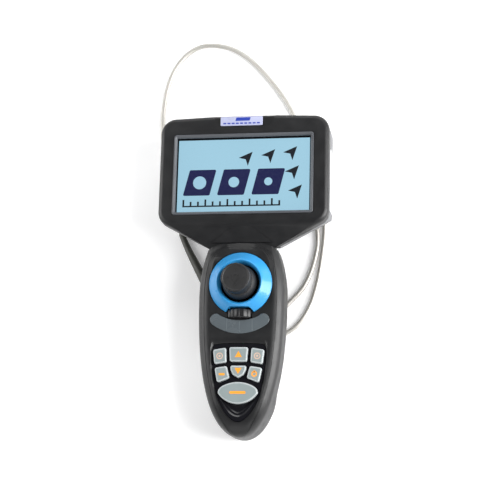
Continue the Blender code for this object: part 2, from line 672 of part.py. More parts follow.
def make_brake_wheel():
    middle = (WHEEL_LOW + WHEEL_HIGH) / 2
    centre = (0, middle, WHEEL_Z)
    half = (WHEEL_HIGH - WHEEL_LOW) / 2
    flutes = 18
    mesh_bm = bmesh.new()
    outline = []
    for k in range(flutes):
        for part, radius in ((0.0, WHEEL_R), (0.45, WHEEL_R), (0.6, WHEEL_R - 0.9),
                             (0.85, WHEEL_R - 0.9)):
            a = 2 * math.pi * (k + part) / flutes
            outline.append((radius * math.cos(a), radius * math.sin(a)))
    rings = []
    for y in (middle - half, middle + half):
        rings.append([mesh_bm.verts.new((x, y, WHEEL_Z + z)) for x, z in outline])
    mesh_bm.faces.new(rings[0])
    mesh_bm.faces.new(rings[1])
    for i in range(len(outline)):
        j = (i + 1) % len(outline)
        mesh_bm.faces.new((rings[0][i], rings[0][j], rings[1][j], rings[1][i]))
    wheel = finish("brake_wheel", mesh_bm, centre, "knob_black")
    cut(wheel, rod("bore", centre, 1.9, -half - 1, half + 1, "Y", 12))
    rod("brake_wheel_axle", centre, 1.5, -half - 2.6, half + 0.2, "Y", 12)
    bracket = box("wheel_bracket", (-7.0, WHEEL_LOW - 2.2, 30.0), (7.0, WHEEL_LOW - 0.6, 43.2),
                  "gloss_black")
    cut(bracket, rod("axle_hole", centre, 1.85, -half - 4, half, "Y", 12))
    return wheel


# ---- indicator lens --------------------------------------------------------------------------
def lens_outline(grow=0.0):
    """Curved band between two arcs, with round ends."""
    end_x, end_y, end_r = 19.4, -38.5, 4.9 + grow
    points = arc(0.0, -12.7, 37.2 + grow, 233.9, 306.1, 12)
    points += arc(end_x, end_y, end_r, -53.1, 119.8, 6)
    points += arc(0.0, -4.6, 34.5 - grow, 299.0, 241.0, 10)
    points += arc(-end_x, end_y, end_r, 60.2, 233.1, 6)
    return points


def guide_outline(grow=0.0):
    """Narrower band under the lens that carries light up to it from the board."""
    points = arc(0.0, -19.7, 27.4 + grow, 235.5 - grow, 304.5 + grow, 8)
    points += arc(0.0, -3.1, 38.8 - grow, 293.5 + grow, 246.5 - grow, 8)
    return points


def make_indicator():
    prism("indicator_lens", lens_outline(0.0), 45.3, 46.5, "smoke_lens", top=(0.3, 1))
    prism("light_guide", guide_outline(0.0), 41.0, 45.0, "clear_guide")


# ---- keypad ----------------------------------------------------------------------------------
def keypad_outline(inset):
    """The black inlay: wide at the top, closing to a point under the big key."""
    half = 22.2 - inset
    right = [(0.0, -121.2 + inset * 1.1), (4.0 - inset * 0.3, -120.2 + inset),
             (8.6 - inset * 0.7, -116.4 + inset * 0.8), (13.2 - inset * 0.85, -110.0 + inset * 0.5),
             (16.6 - inset * 0.95, -103.0 + inset * 0.3), (19.2 - inset, -94.0),
             (21.2 - inset, -82.0), (half, -70.0), (half, -60.5 - inset * 0.3),
             (half - 2.6, -57.4 - inset)]
    return mirrored(right)


def scaled_about(points, grow):
    """Grow or shrink a convex outline by moving each side along its normal."""
    result = []
    count = len(points)
    for i in range(count):
        here = Vector(points[i])
        before = (here - Vector(points[i - 1])).normalized()
        after = (Vector(points[(i + 1) % count]) - here).normalized()
        normal_a = Vector((before.y, -before.x))
        normal_b = Vector((after.y, -after.x))
        bisector = (normal_a + normal_b).normalized()
        result.append(tuple(here + bisector * grow / max(0.3, bisector.dot(normal_a))))
    return result


def key_shapes():
    """Corner points of each key, anticlockwise, with the corner rounding."""
    left_high = [(-19.6, -74.9), (-9.8, -73.4), (-10.3, -61.4), (-20.9, -63.2)]
    left_low = [(-16.9, -89.9), (-7.0, -86.0), (-9.5, -76.3), (-19.4, -77.9)]
    up = [(-6.9, -72.9), (6.9, -72.9), (7.7, -61.1), (-7.7, -61.1)]
    shapes = {
        "key_record": (left_high, 1.6),
        "key_up": (up, 1.6),
        "key_light": (flipped(left_high), 1.6),
        "key_zoom": (left_low, 1.6),
        "key_down": ([(-4.3, -83.4), (0.0, -85.9), (4.3, -83.4), (6.2, -79.5), (6.4, -76.0),
                      (-6.4, -76.0), (-6.2, -79.5)], 1.3),
        "key_power": (flipped(left_low), 1.6),
        "key_menu": (arc(0.0, -98.6 + 11.2, 19.4, 207, 333, 10)[1:-1]
                     + [(15.3, -94.4)] + arc(0.0, -115.2, 26.0, 56, 124, 6)[1:-1]
                     + [(-15.3, -94.4)], 0.0),
    }
    return shapes


def flipped(points):
    return [(-x, y) for x, y in reversed(points)]


def scoop_outline(inset, z):
    """A crescent between the big key and the lower end of the keypad."""
    right = [(0.0, -117.2 + inset), (4.6 - inset * 0.4, -115.8 + inset),
             (9.2 - inset * 0.7, -111.4 + inset * 0.6), (13.0 - inset, -105.4),
             (14.6 - inset, -102.2 - inset * 0.2), (9.0 - inset * 0.5, -106.0 - inset * 0.4),
             (0.0, -108.4 - inset * 0.4)]
    return [(x, y, z) for x, y in mirrored(right)]


def make_keypad():
    plate = prism("keypad_plate", keypad_outline(GAP + 0.1), 42.6, PLATE_TOP_Z, "gloss_black")
    for inset, high, low in ((0.0, 0.0, 0.7), (2.7, 0.6, 1.3)):
        cut(plate, loft("scoop", [scoop_outline(inset + (low - high) * 1.8, PLATE_TOP_Z - low),
                                  scoop_outline(inset, PLATE_TOP_Z - high),
                                  scoop_outline(inset, PLATE_TOP_Z + 1.0)]))
    for name, (corners, radius) in key_shapes().items():
        outline = rounded(corners, radius, 3) if radius else corners
        slot = scaled_about(outline, 0.35)
        cut(plate, prism("slot", slot, 40.0, 60.0))
        middle_x = sum(p[0] for p in outline) / len(outline)
        middle_y = sum(p[1] for p in outline) / len(outline)
        prism(name, outline, KEY_FOOT_Z, KEY_TOP_Z, "key_grey", top=(0.7, 2),
              origin=(middle_x, middle_y, KEY_TOP_Z))
    inner = [(x, max(y, -108.5)) for x, y in keypad_outline(2.2)]
    prism("dome_sheet", [p for i, p in enumerate(inner) if inner[i - 1] != p], 38.4, 39.2, "rubber")
    prism("keypad_board", [p for i, p in enumerate(inner) if inner[i - 1] != p], 36.4, 38.0,
          "board_green")


# ---- electronics -----------------------------------------------------------------------------
def make_electronics():
    box("main_board", (-18.0, -100.0, 25.0), (18.0, -44.0, 26.6), "board_green")
    box("battery_pack", (-30.8, 75.2, 3.1), (30.8, 113.0, 19.0), "battery_blue", bevel=(1.2, 2))
    box("battery_contacts", (-12.0, 113.4, 14.9), (12.0, 116.8, 21.0), "gloss_black")
    door = box("battery_door", (-DOOR_HALF, 74.4, 0.6), (DOOR_HALF, BULGE_HIGH - 0.4, 2.4),
               "cover_grey")
    for k in range(4):
        y = 80.0 + 2.4 * k
        cut(door, box("grip_groove", (-9.0, y, 0.0), (9.0, y + 1.2, 1.2)))
    block = box("port_block", (58.5, 64.0, 20.4), (69.4, 98.0, 33.0), "gloss_black")
    for low, high in ((66.8, 76.2), (79.4, 88.8)):
        cut(block, box("port", (64.6, low, 24.6), (72.0, high, 29.8)))


def make_port_door():
    door = box("port_door", (70.35, 54.2, 19.2), (71.5, 106.8, 35.6), "silver",
               origin=(70.9, 80.5, 17.6))
    barrel = rod("barrel", (70.9, 80.5, 17.6), 1.25, -26.3, 26.3, "Y", 14)
    web = box("web", (70.45, 54.2, 17.7), (71.4, 106.8, 19.6))
    join(door, barrel, web)
    cut(door, rod("bore", (70.9, 80.5, 17.6), 0.75, -30, 30, "Y", 10))
    rod("port_door_pin", (70.9, 80.5, 17.6), 0.45, -26.9, 26.9, "Y", 8)
    return door


def make_screws():
    for label, places, head_z in (("head_screw", SCREW_HEAD, 13.0), ("grip_screw", SCREW_GRIP, 14.6)):
        for k, (x, y) in enumerate(places):
            screw = turned(f"{label}_{k + 1}", [(0, head_z), (2.6, head_z), (2.8, head_z + 0.3),
                                                (2.8, head_z + 1.3), (1.35, head_z + 1.3),
                                                (1.35, head_z + 14.0), (0, head_z + 14.0)],
                           (x, y, 0), steps=10, look="steel", origin=(x, y, head_z))
            cut(screw, box("slot", (x - 1.6, y - 0.35, head_z - 1), (x + 1.6, y + 0.35, head_z + 0.7)))


# ---- insertion tube --------------------------------------------------------------------------
def smooth_line(points, spacing):
    """Evenly spaced points on a smooth curve through the given points."""
    fine = []
    count = len(points)
    for i in range(count - 1):
        p0 = Vector(points[max(i - 1, 0)])
        p1 = Vector(points[i])
        p2 = Vector(points[i + 1])
        p3 = Vector(points[min(i + 2, count - 1)])
        for k in range(12):
            t = k / 12
            fine.append(0.5 * ((2 * p1) + (p2 - p0) * t + (2 * p0 - 5 * p1 + 4 * p2 - p3) * t * t
                               + (3 * p1 - p0 - 3 * p2 + p3) * t ** 3))
    fine.append(Vector(points[-1]))
    lengths = [0.0]
    for a, b in zip(fine, fine[1:]):
        lengths.append(lengths[-1] + (b - a).length)
    steps = max(2, round(lengths[-1] / spacing))
    result = []
    at = 0
    for k in range(steps + 1):
        want = lengths[-1] * k / steps
        while at < len(lengths) - 2 and lengths[at + 1] < want:
            at += 1
        span = lengths[at + 1] - lengths[at]
        part = (want - lengths[at]) / span if span else 0.0
        result.append(fine[at].lerp(fine[at + 1], min(1.0, max(0.0, part))))
    return result


def make_tube():
    points = smooth_line(TUBE_ROUTE, 13.6)
    curve = bpy.data.curves.new("insertion_tube", "CURVE")
    curve.dimensions = "3D"
    curve.bevel_depth = TUBE_D / 2 * MM
    curve.bevel_resolution = 2
    curve.use_fill_caps = True
    spline = curve.splines.new("POLY")
    spline.points.add(len(points) - 1)
    for target, point in zip(spline.points, points):
        target.co = (*(point * MM), 1.0)
    tube = bpy.data.objects.new("insertion_tube", curve)
    curve.materials.append(material("braid"))
    bpy.context.scene.collection.objects.link(tube)
    return tube


def make_strain_relief():
    centres = [Vector(p[:3]) for p in BOOT_LINE]
    sections = []
    steps = 14
    for i, (centre, row) in enumerate(zip(centres, BOOT_LINE)):
        ahead = centres[min(i + 1, len(centres) - 1)] - centres[max(i - 1, 0)]
        along = ahead.normalized()
        side = along.cross(Vector((0, 0, 1))).normalized()
        up = side.cross(along)
        radius = row[3]
        sections.append([centre + side * radius * math.cos(2 * math.pi * k / steps)
                         + up * radius * math.sin(2 * math.pi * k / steps) for k in range(steps)])
    return loft("strain_relief", sections, "boot_olive")


def make_gland():
    """Hexagonal gland nut between the pod and the strain relief."""
    sx, sy, z = OUTLET
    dx, dy = OUTLET_DIR
    gland = turned("tube_gland", [(2.6, -7.6), (GLAND_R, -7.6), (GLAND_R, -3.4), (5.2, -2.8),
                                  (5.2, 0.0), (2.6, 0.0)], (0, 0, 0), steps=12, look="knob_black")
    turn = Vector((0, 0, 1)).rotation_difference(Vector((dx, dy, 0)))
    mesh = gland.data
    mesh.transform(Matrix.Translation(Vector((sx, sy, z)) * MM) @ turn.to_matrix().to_4x4())
    return gland


def make_bending_section():
    for k in range(SEGMENTS):
        hinge_y = SEGMENT_Y - SEGMENT_PITCH * k
        high = hinge_y - SEGMENT_GAP
        low = hinge_y - SEGMENT_PITCH + SEGMENT_GAP
        rod(f"bend_segment_{k + 1}", (SEGMENT_X, 0, TUBE_Z), TUBE_D / 2, low, high, "Y", 14,
            "braid", origin=(SEGMENT_X, hinge_y, TUBE_Z))
    hinge_y = SEGMENT_Y - SEGMENT_PITCH * SEGMENTS
    high = hinge_y - SEGMENT_GAP
    low = high - TIP_LENGTH
    tip = turned("camera_tip", [(0, low + 0.6), (1.25, low + 0.6), (1.25, low), (1.7, low),
                                (1.95, low + 0.4), (1.95, high), (0, high)],
                 (SEGMENT_X, 0, TUBE_Z), "Y", 16, "steel", origin=(SEGMENT_X, hinge_y, TUBE_Z))
    rod("tip_lens", (SEGMENT_X, 0, TUBE_Z), 0.95, low - 0.1, low + 0.3, "Y", 12, "glass",
        origin=(SEGMENT_X, hinge_y, TUBE_Z))
    return tip


def main():
    clear_scene()
    make_front_shell()
    make_head_rear_cover()
    make_handle_rear_shell()
    make_shell_seal()
    make_screen()
    make_badge()
    make_joystick()
    make_brake_wheel()
    make_indicator()
    make_keypad()
    make_electronics()
    make_port_door()
    make_screws()
    make_gland()
    make_strain_relief()
    make_tube()
    make_bending_section()


main()
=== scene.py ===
"""Looks for the handheld inspection camera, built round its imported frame.
"""

import json
from math import asin, cos, degrees, pi, radians, sin, sqrt, tan

import bmesh
import bpy
from mathutils import Matrix, Vector


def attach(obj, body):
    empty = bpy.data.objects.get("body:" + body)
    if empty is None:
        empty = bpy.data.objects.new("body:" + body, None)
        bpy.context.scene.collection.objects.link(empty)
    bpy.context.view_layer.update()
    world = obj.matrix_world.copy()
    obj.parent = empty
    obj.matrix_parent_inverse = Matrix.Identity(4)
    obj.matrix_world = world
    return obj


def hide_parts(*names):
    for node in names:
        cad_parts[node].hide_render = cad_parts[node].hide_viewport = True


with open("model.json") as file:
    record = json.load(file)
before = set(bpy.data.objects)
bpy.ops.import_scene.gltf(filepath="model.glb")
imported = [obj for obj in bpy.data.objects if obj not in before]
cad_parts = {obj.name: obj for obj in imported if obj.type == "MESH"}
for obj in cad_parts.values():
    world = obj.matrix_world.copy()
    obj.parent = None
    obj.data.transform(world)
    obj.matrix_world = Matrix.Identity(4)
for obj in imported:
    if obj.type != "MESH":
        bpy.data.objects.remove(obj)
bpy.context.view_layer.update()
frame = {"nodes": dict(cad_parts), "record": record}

MM = 0.001
SMOOTH_ANGLE = radians(32)
PLATE_CREASE = radians(13)   # keeps the scoop in the keypad plate crisp at its rim

# ---- sizes repeated from the CAD ----
HEAD_HALF_WIDTH = 71.2
HEAD_TOP = 135.0
HEAD_CORNER = 13.0
HEAD_FLAT = 27.0
HEAD_CROWN = 1.6
CHIN_SIDE_Y = 45.2
CHIN_HALF = 28.0
CHIN_Y = 22.0
CHIN_TAPER = 0.25
CHIN_FOLD_Y = 43.0   # the face starts to slope down to the handle here
FACE_Z = 48.0
SEAM_HEAD = 38.0
HEAD_BACK = 12.0
BULGE_HALF = 35.0
BULGE_LOW = 68.0
BULGE_HIGH = 120.0
SCREEN_X = -0.3
SCREEN_Y = 83.6
SCREEN_W = 110.7
SCREEN_H = 62.3
LIP_HALF_W = 59.2
LIP_LOW = 49.2
LIP_HIGH = 119.0
LIP_BAND = 3.0
GRIP_HALF_WIDTH = 35.4
GRIP_WIDEST_Y = -16.0
TAIL_Y = -132.3
GRIP_TOP_Y = 15.5
GRIP_ARC_R = 65.0
GRIP_ARC_TOP = 27.5
GRIP_Z = 46.0
SEAM_GRIP = 22.0
ARCH_Z = 14.0
ARCH_END_Y = -88.0
HEEL_Y = -110.0
STICK_Y = -8.8
PIVOT_Z = 50.0
RING_R = 26.0
RING_HOLE_R = 15.9
RING_TOP_Z = 54.0
SKIRT_R = 14.2
CAP_R = 11.7
CAP_TOP_Z = 71.5
WHEEL_R = 12.5
WHEEL_Z = 38.0
WHEEL_LOW = -37.2
WHEEL_HIGH = -29.9
KEY_TOP_Z = 47.2
KEY_FOOT_Z = 40.6
PLATE_TOP_Z = 44.6
WALL = 2.5
GAP = 0.3
TUBE_D = 3.9
TUBE_Z = 2.05
OUTLET = (-20.0, -30.0, 7.2)
OUTLET_DIR = (-0.5, 0.866)
SEGMENT_X = 9.5
SEGMENT_Y = -62.6
SEGMENT_PITCH = 6.0
SEGMENT_GAP = 0.55
TIP_LENGTH = 13.0
HINGE = (70.9, 80.5, 17.6)
BOSS_R = 4.0
BOSS_TOP = 20.2
SCREW_HEAD = ((62.0, 124.0), (-62.0, 124.0), (62.0, 56.0), (-62.0, 56.0))
SCREW_GRIP = ((23.0, 6.0), (-23.0, 6.0), (25.5, -72.0), (-25.5, -72.0))

BOOT_LINE = (
    (-20.25, -29.57, 7.1, 4.8),
    (-26.4, -18.6, 6.7, 4.6),
    (-33.0, -7.0, 6.1, 4.3),
    (-39.5, 5.1, 5.4, 3.95),
    (-47.6, 19.6, 4.3, 3.4),
    (-54.4, 32.4, 3.4, 2.9),
    (-60.0, 44.6, 2.7, 2.5),
)

TUBE_ROUTE = (
    (-60.15, 44.93, 2.65), (-63.9, 54.0, 2.3), (-68.7, 68.0, 2.05),
    (-74.2, 92.0, 2.05), (-78.6, 120.0, 2.05), (-80.6, 148.0, 2.05),
    (-79.0, 169.0, 2.05), (-75.2, 186.0, 2.05), (-69.6, 198.0, 2.05),
    (-60.8, 208.8, 2.05), (-49.5, 215.4, 2.05), (-36.7, 216.6, 2.05),
    (-20.8, 212.7, 2.05), (-7.6, 204.7, 2.05), (3.1, 195.0, 2.05),
    (13.6, 182.8, 2.05), (24.2, 168.6, 2.05), (33.5, 152.6, 2.05),
    (46.0, 124.0, 2.05), (56.5, 92.0, 2.05), (62.0, 66.0, 2.05),
    (63.5, 48.3, 2.05), (62.6, 32.4, 2.05), (60.2, 13.5, 2.05),
    (57.2, -2.2, 2.05), (52.2, -18.6, 2.05), (43.4, -33.4, 2.05),
    (33.4, -41.4, 2.05), (22.0, -44.2, 2.05), (11.2, -39.6, 2.05),
    (4.9, -28.6, 2.05), (2.9, -12.0, 2.05), (2.6, 10.0, 2.05),
    (3.4, 32.0, 2.05), (9.4, 49.0, 2.05), (21.0, 60.2, 2.05),
    (34.5, 63.2, 2.05), (48.0, 59.6, 2.05), (56.0, 50.0, 2.05),
    (57.8, 36.0, 2.05), (55.8, 22.5, 2.05), (52.0, 9.0, 2.05),
    (45.6, -4.0, 2.05), (35.2, -15.6, 2.05), (25.8, -24.6, 2.6),
    (18.6, -33.4, 4.9), (13.6, -42.6, 6.45), (10.8, -51.0, 5.0),
    (9.7, -58.0, 2.75), (9.5, -62.0, 2.1),
)

# ---- sizes only the visual has ----
GROOVE_AT = 64.0        # degrees round the shoulder of the handle's front
GROOVE_DEPTH = 0.4
VENT_PITCH = 5.2
RIB_PITCH = 4.6
INK_LOW, INK_HIGH = 44.42, 44.48    # the drawing on the LCD picture
FAINT_KEYS = ("key_record", "key_light")
THROUGH = (40.0, 60.0)              # heights of a cutter that goes right through the face

# ---- camera ----
CAMERA_LENS = 97.13     # mm, on a sensor 36 mm wide
CAMERA_AT = (0.18419, -0.23477, 1.10372)
CAMERA_X = (0.98692, 0.02375, -0.15945)
CAMERA_Y = (0.01395, 0.97280, 0.23122)
CAMERA_Z = (0.16061, -0.23041, 0.95975)


def make_camera():
    data = bpy.data.cameras.new("camera")
    data.sensor_width = 36.0
    data.lens = CAMERA_LENS
    data.clip_start = 0.01
    camera = add_object("camera", data)
    turn = Matrix((CAMERA_X, CAMERA_Y, CAMERA_Z)).transposed().to_4x4()
    camera.matrix_world = Matrix.Translation(CAMERA_AT) @ turn
    bpy.context.scene.camera = camera


# ---- materials ----
STRAND_ANGLE = radians(38)


def new_material(name):
    made = bpy.data.materials.new(name)
    made.use_nodes = True
    tree = made.node_tree
    return made, tree, tree.nodes["Principled BSDF"]


def feed(tree, node, inputs):
    """Fill a node's inputs by name or number: a socket is linked, anything else is a value."""
    for key, given in inputs.items():
        if isinstance(given, bpy.types.NodeSocket):
            tree.links.new(given, node.inputs[key])
        else:
            node.inputs[key].default_value = given
    return node


def add_node(tree, kind, inputs):
    return feed(tree, tree.nodes.new(kind), inputs)


def object_coords(tree):
    return tree.nodes.new("ShaderNodeTexCoord").outputs["Object"]


def noise(tree, coords, scale, detail=4.0, roughness=0.55):
    return add_node(tree, "ShaderNodeTexNoise", {
        "Scale": scale, "Detail": detail, "Roughness": roughness, "Vector": coords}).outputs["Fac"]


def spread(tree, value, low, high, from_low=0.3, from_high=0.7):
    """Stretch a value, by default the middle part of a noise, to run from low to high."""
    return add_node(tree, "ShaderNodeMapRange", {
        "Value": value, "From Min": from_low, "From Max": from_high, "To Min": low,
        "To Max": high}).outputs["Result"]


def arithmetic(tree, operation, inputs):
    node = add_node(tree, "ShaderNodeMath", inputs)
    node.operation = operation
    return node.outputs["Value"]


def ramp(tree, value, stops):
    node = add_node(tree, "ShaderNodeValToRGB", {"Fac": value})
    bar = node.color_ramp
    while len(bar.elements) < len(stops):
        bar.elements.new(0.5)
    for element, (at, colour) in zip(bar.elements, stops):
        element.position = at
        element.color = (*colour, 1.0)
    return node.outputs["Color"]


def bump(tree, height, strength, distance, after=None):
    inputs = {"Height": height, "Strength": strength, "Distance": distance}
    if after:
        inputs["Normal"] = after
    return add_node(tree, "ShaderNodeBump", inputs).outputs["Normal"]


def scaled(colour, amount):
    return tuple(min(1.0, c * amount) for c in colour)


def two_tones(tree, value, colour, low, high):
    """The colour times low to times high, over the middle part of a noise."""
    return ramp(tree, value, ((0.3, scaled(colour, low)), (0.7, scaled(colour, high))))


def moulded(name, colour, rough, grain, grain_size, tint=0.08, rough_spread=0.06):
    """Moulded plastic or rubber: fine spark-eroded grain, faint mottling and uneven gloss."""
    made, tree, shader = new_material(name)
    coords = object_coords(tree)
    mottle = noise(tree, coords, 38.0, 5.0)
    smudge = noise(tree, coords, 85.0, 6.0, 0.6)
    fine = noise(tree, coords, 1000.0 / grain_size, 2.0)
    waves = bump(tree, noise(tree, coords, 160.0, 2.0), 0.04, 0.0006)
    feed(tree, shader, {
        "Base Color": two_tones(tree, mottle, colour, 1 - tint, 1 + tint),
        "Roughness": spread(tree, smudge, rough - rough_spread, rough + rough_spread),
        "Metallic": METALLIC.get(name, 0.0), "Coat Weight": COATED.get(name, 0.0),
        "Coat Roughness": 0.08, "Normal": bump(tree, fine, grain, 0.00006, waves)})
    return made


def brushed(name, colour, rough):
    """Metal with fine lines in the XY plane."""
    made, tree, shader = new_material(name)
    mapping = add_node(tree, "ShaderNodeMapping", {
        "Scale": (1.0, 1.0, 30.0), "Vector": object_coords(tree)})
    lines = noise(tree, mapping.outputs["Vector"], 260.0, 6.0)
    feed(tree, shader, {
        "Base Color": two_tones(tree, lines, colour, 0.82, 1.1),
        "Roughness": spread(tree, lines, rough - 0.08, rough + 0.1), "Metallic": 1.0,
        "Normal": bump(tree, lines, 0.25, 0.00003)})
    return made


def braided(name, colour):
    """Woven wire sleeve: two families of strands wound opposite ways, from the UV map in mm."""
    made, tree, shader = new_material(name)
    uv = tree.nodes.new("ShaderNodeUVMap")
    uv.uv_map = "UVMap"
    heights = []
    for slant in (STRAND_ANGLE, -STRAND_ANGLE):
        mapping = add_node(tree, "ShaderNodeMapping", {
            "Rotation": (0.0, 0.0, slant), "Vector": uv.outputs["UV"]})
        wave = add_node(tree, "ShaderNodeTexWave", {
            "Scale": 0.42, "Distortion": 0.15, "Vector": mapping.outputs["Vector"]})
        wave.wave_type = "BANDS"
        heights.append(wave.outputs["Fac"])
    strands = arithmetic(tree, "MAXIMUM", dict(enumerate(heights)))
    tones = ((0.1, scaled(colour, 0.45)), (0.55, colour), (0.95, scaled(colour, 1.18)))
    stain = noise(tree, object_coords(tree), 60.0)
    feed(tree, shader, {
        "Base Color": ramp(tree, strands, tones), "Roughness": spread(tree, stain, 0.34, 0.46),
        "Metallic": 0.55, "Normal": bump(tree, strands, 0.5, 0.00012)})
    return made


def clear_pane(name):
    """Screen window: see-through, with a reflection that grows at grazing angles."""
    made, tree, shader = new_material(name)
    tree.nodes.remove(shader)
    through = add_node(tree, "ShaderNodeBsdfTransparent", {"Color": (0.97, 0.985, 0.99, 1.0)})
    smear = noise(tree, object_coords(tree), 45.0, 5.0)
    gloss = add_node(tree, "ShaderNodeBsdfGlossy", {"Roughness": spread(tree, smear, 0.02, 0.07)})
    # Schlick's curve on the facing angle, the same from both sides of the pane.
    facing = add_node(tree, "ShaderNodeLayerWeight", {"Blend": 0.5}).outputs["Facing"]
    curve = arithmetic(tree, "POWER", {0: facing, 1: 5.0})
    mix = add_node(tree, "ShaderNodeMixShader", {
        "Fac": spread(tree, curve, 0.02, 0.9, 0.0, 1.0), 1: through.outputs["BSDF"],
        2: gloss.outputs["BSDF"]})
    feed(tree, tree.nodes["Material Output"], {"Surface": mix.outputs["Shader"]})
    return made


def lit_picture(name, colour, fade):
    """A lit part of the LCD: its own light, a slow drift of tone and a fine dot grid."""
    made, tree, shader = new_material(name)
    coords = object_coords(tree)
    drift = noise(tree, coords, 9.0, 1.0)
    dots = add_node(tree, "ShaderNodeTexChecker", {
        "Scale": 4300.0, "Color1": (1.0, 1.0, 1.0, 1.0), "Color2": (0.95, 0.95, 0.95, 1.0),
        "Vector": coords})
    product = tree.nodes.new("ShaderNodeMix")
    product.data_type = "RGBA"
    product.blend_type = "MULTIPLY"
    feed(tree, product, {"Factor": 1.0, "A": two_tones(tree, drift, colour, 1 - fade, 1 + fade),
                         "B": dots.outputs["Color"]})
    feed(tree, shader, {
        "Base Color": (0.01, 0.012, 0.014, 1.0), "Emission Color": product.outputs["Result"],
        "Emission Strength": 1.0, "Roughness": 0.5, "Specular IOR Level": 0.1})
    return made


# Colour, roughness, strength of the grain, its size in mm, and then, where they differ from the
# usual ones, how far the colour and the roughness vary.
MOULDED = {
    "shell_black": ((0.0058, 0.0060, 0.0067), 0.43, 0.30, 0.40, 0.10),
    "cover_grey": ((0.145, 0.148, 0.155), 0.48, 0.30, 0.40),
    "gloss_black": ((0.006, 0.006, 0.008), 0.21, 0.03, 0.8, 0.1, 0.04),
    "knob_black": ((0.0125, 0.0125, 0.013), 0.50, 0.35, 0.30, 0.1),
    "wheel_black": ((0.008, 0.008, 0.009), 0.40, 0.1, 0.4, 0.1, 0.04),
    "ring_blue": ((0.030, 0.275, 0.60), 0.30, 0.05, 0.6, 0.05, 0.04),
    "key_grey": ((0.42, 0.455, 0.46), 0.38, 0.12, 0.5, 0.04),
    "key_face": ((0.235, 0.278, 0.28), 0.42, 0.15, 0.5, 0.05),
    "lip_grey": ((0.075, 0.08, 0.09), 0.38, 0.12, 0.5),
    "badge_white": ((0.43, 0.45, 0.62), 0.30, 0.04, 0.6, 0.03),
    "silver": ((0.76, 0.77, 0.79), 0.36, 0.12, 0.4, 0.03),
    "smoke_lens": ((0.088, 0.104, 0.114), 0.26, 0.06, 0.6, 0.08),
    "lens_line": ((0.14, 0.165, 0.18), 0.35, 0.06, 0.6, 0.05),
    "clear_guide": ((0.80, 0.85, 0.88), 0.15, 0.03, 0.8, 0.03),
    "tip_glass": ((0.01, 0.02, 0.035), 0.06, 0.02, 0.8, 0.05, 0.02),
    "board_green": ((0.02, 0.16, 0.07), 0.35, 0.2, 0.6, 0.12),
    "battery_blue": ((0.05, 0.10, 0.22), 0.4, 0.1, 0.8, 0.06),
    "rubber": ((0.03, 0.03, 0.028), 0.75, 0.4, 0.4),
    "boot_olive": ((0.050, 0.050, 0.042), 0.50, 0.3, 0.35, 0.12),
    "print_orange": ((0.85, 0.33, 0.03), 0.45, 0.08, 0.4, 0.05),
    "print_faint": ((0.60, 0.42, 0.32), 0.45, 0.08, 0.4, 0.06),
    "print_navy": ((0.020, 0.045, 0.33), 0.4, 0.05, 0.4, 0.05),
}
COATED = {"ring_blue": 0.2, "smoke_lens": 0.3, "tip_glass": 1.0}
METALLIC = {"silver": 0.15}


def make_materials():
    looks = {name: moulded(name, *values) for name, values in MOULDED.items()}
    looks["steel"] = brushed("steel", (0.55, 0.55, 0.56), 0.32)
    looks["brass"] = brushed("brass", (0.72, 0.53, 0.22), 0.3)
    looks["glass"] = clear_pane("glass")
    looks["braid"] = braided("braid", (0.50, 0.485, 0.45))
    looks["picture_light"] = lit_picture("picture_light", (0.375, 0.625, 0.765), 0.06)
    looks["picture_navy"] = lit_picture("picture_navy", (0.006, 0.005, 0.062), 0.1)
    looks["picture_dark"] = lit_picture("picture_dark", (0.003, 0.003, 0.006), 0.1)
    return looks


LOOKS = make_materials()


# ---- mesh helpers ----
def add_object(name, data):
    item = bpy.data.objects.new(name, data)
    bpy.context.scene.collection.objects.link(item)
    return item


def finish(name, bm, look):
    bmesh.ops.recalc_face_normals(bm, faces=bm.faces)
    for vert in bm.verts:
        vert.co = vert.co * MM
    mesh = bpy.data.meshes.new(name)
    bm.to_mesh(mesh)
    bm.free()
    mesh.materials.append(LOOKS[look])
    return add_object(name, mesh)


def show(item, body, slot, *nodes, crease=SMOOTH_ANGLE):
    """Smooth the piece, let it ride on a body and stand for its CAD nodes."""
    item.data.shade_smooth()
    item.data.set_sharp_from_angle(angle=crease)
    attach(item, body)
    if nodes:
        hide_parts(*nodes)
    return item


def one_look(item, look):
    """Give the faces left by cutters and joined pieces the look of the rest."""
    for index in range(len(item.data.materials)):
        item.data.materials[index] = LOOKS[look]


def boolean(target, tool, operation):
    step = target.modifiers.new("cut", "BOOLEAN")
    step.operation = operation
    step.solver = "EXACT"
    step.object = tool
    graph = bpy.context.evaluated_depsgraph_get()
    result = bpy.data.meshes.new_from_object(target.evaluated_get(graph))
    target.modifiers.clear()
    old = target.data
    target.data = result
    bpy.data.meshes.remove(old)
    bpy.data.objects.remove(tool, do_unlink=True)


def cut(target, *tools):
    for tool in tools:
        boolean(target, tool, "DIFFERENCE")
    return target


def join(target, *tools):
    for tool in tools:
        boolean(target, tool, "UNION")


def bridge(bm, first, second):
    """Faces between two rings of points; either ring may be a single point."""
    count = max(len(first), len(second))
    for k in range(count):
        n = (k + 1) % count
        if len(first) == 1:
            bm.faces.new((first[0], second[k], second[n]))
        elif len(second) == 1:
            bm.faces.new((first[k], first[n], second[0]))
        else:
            bm.faces.new((first[k], first[n], second[n], second[k]))


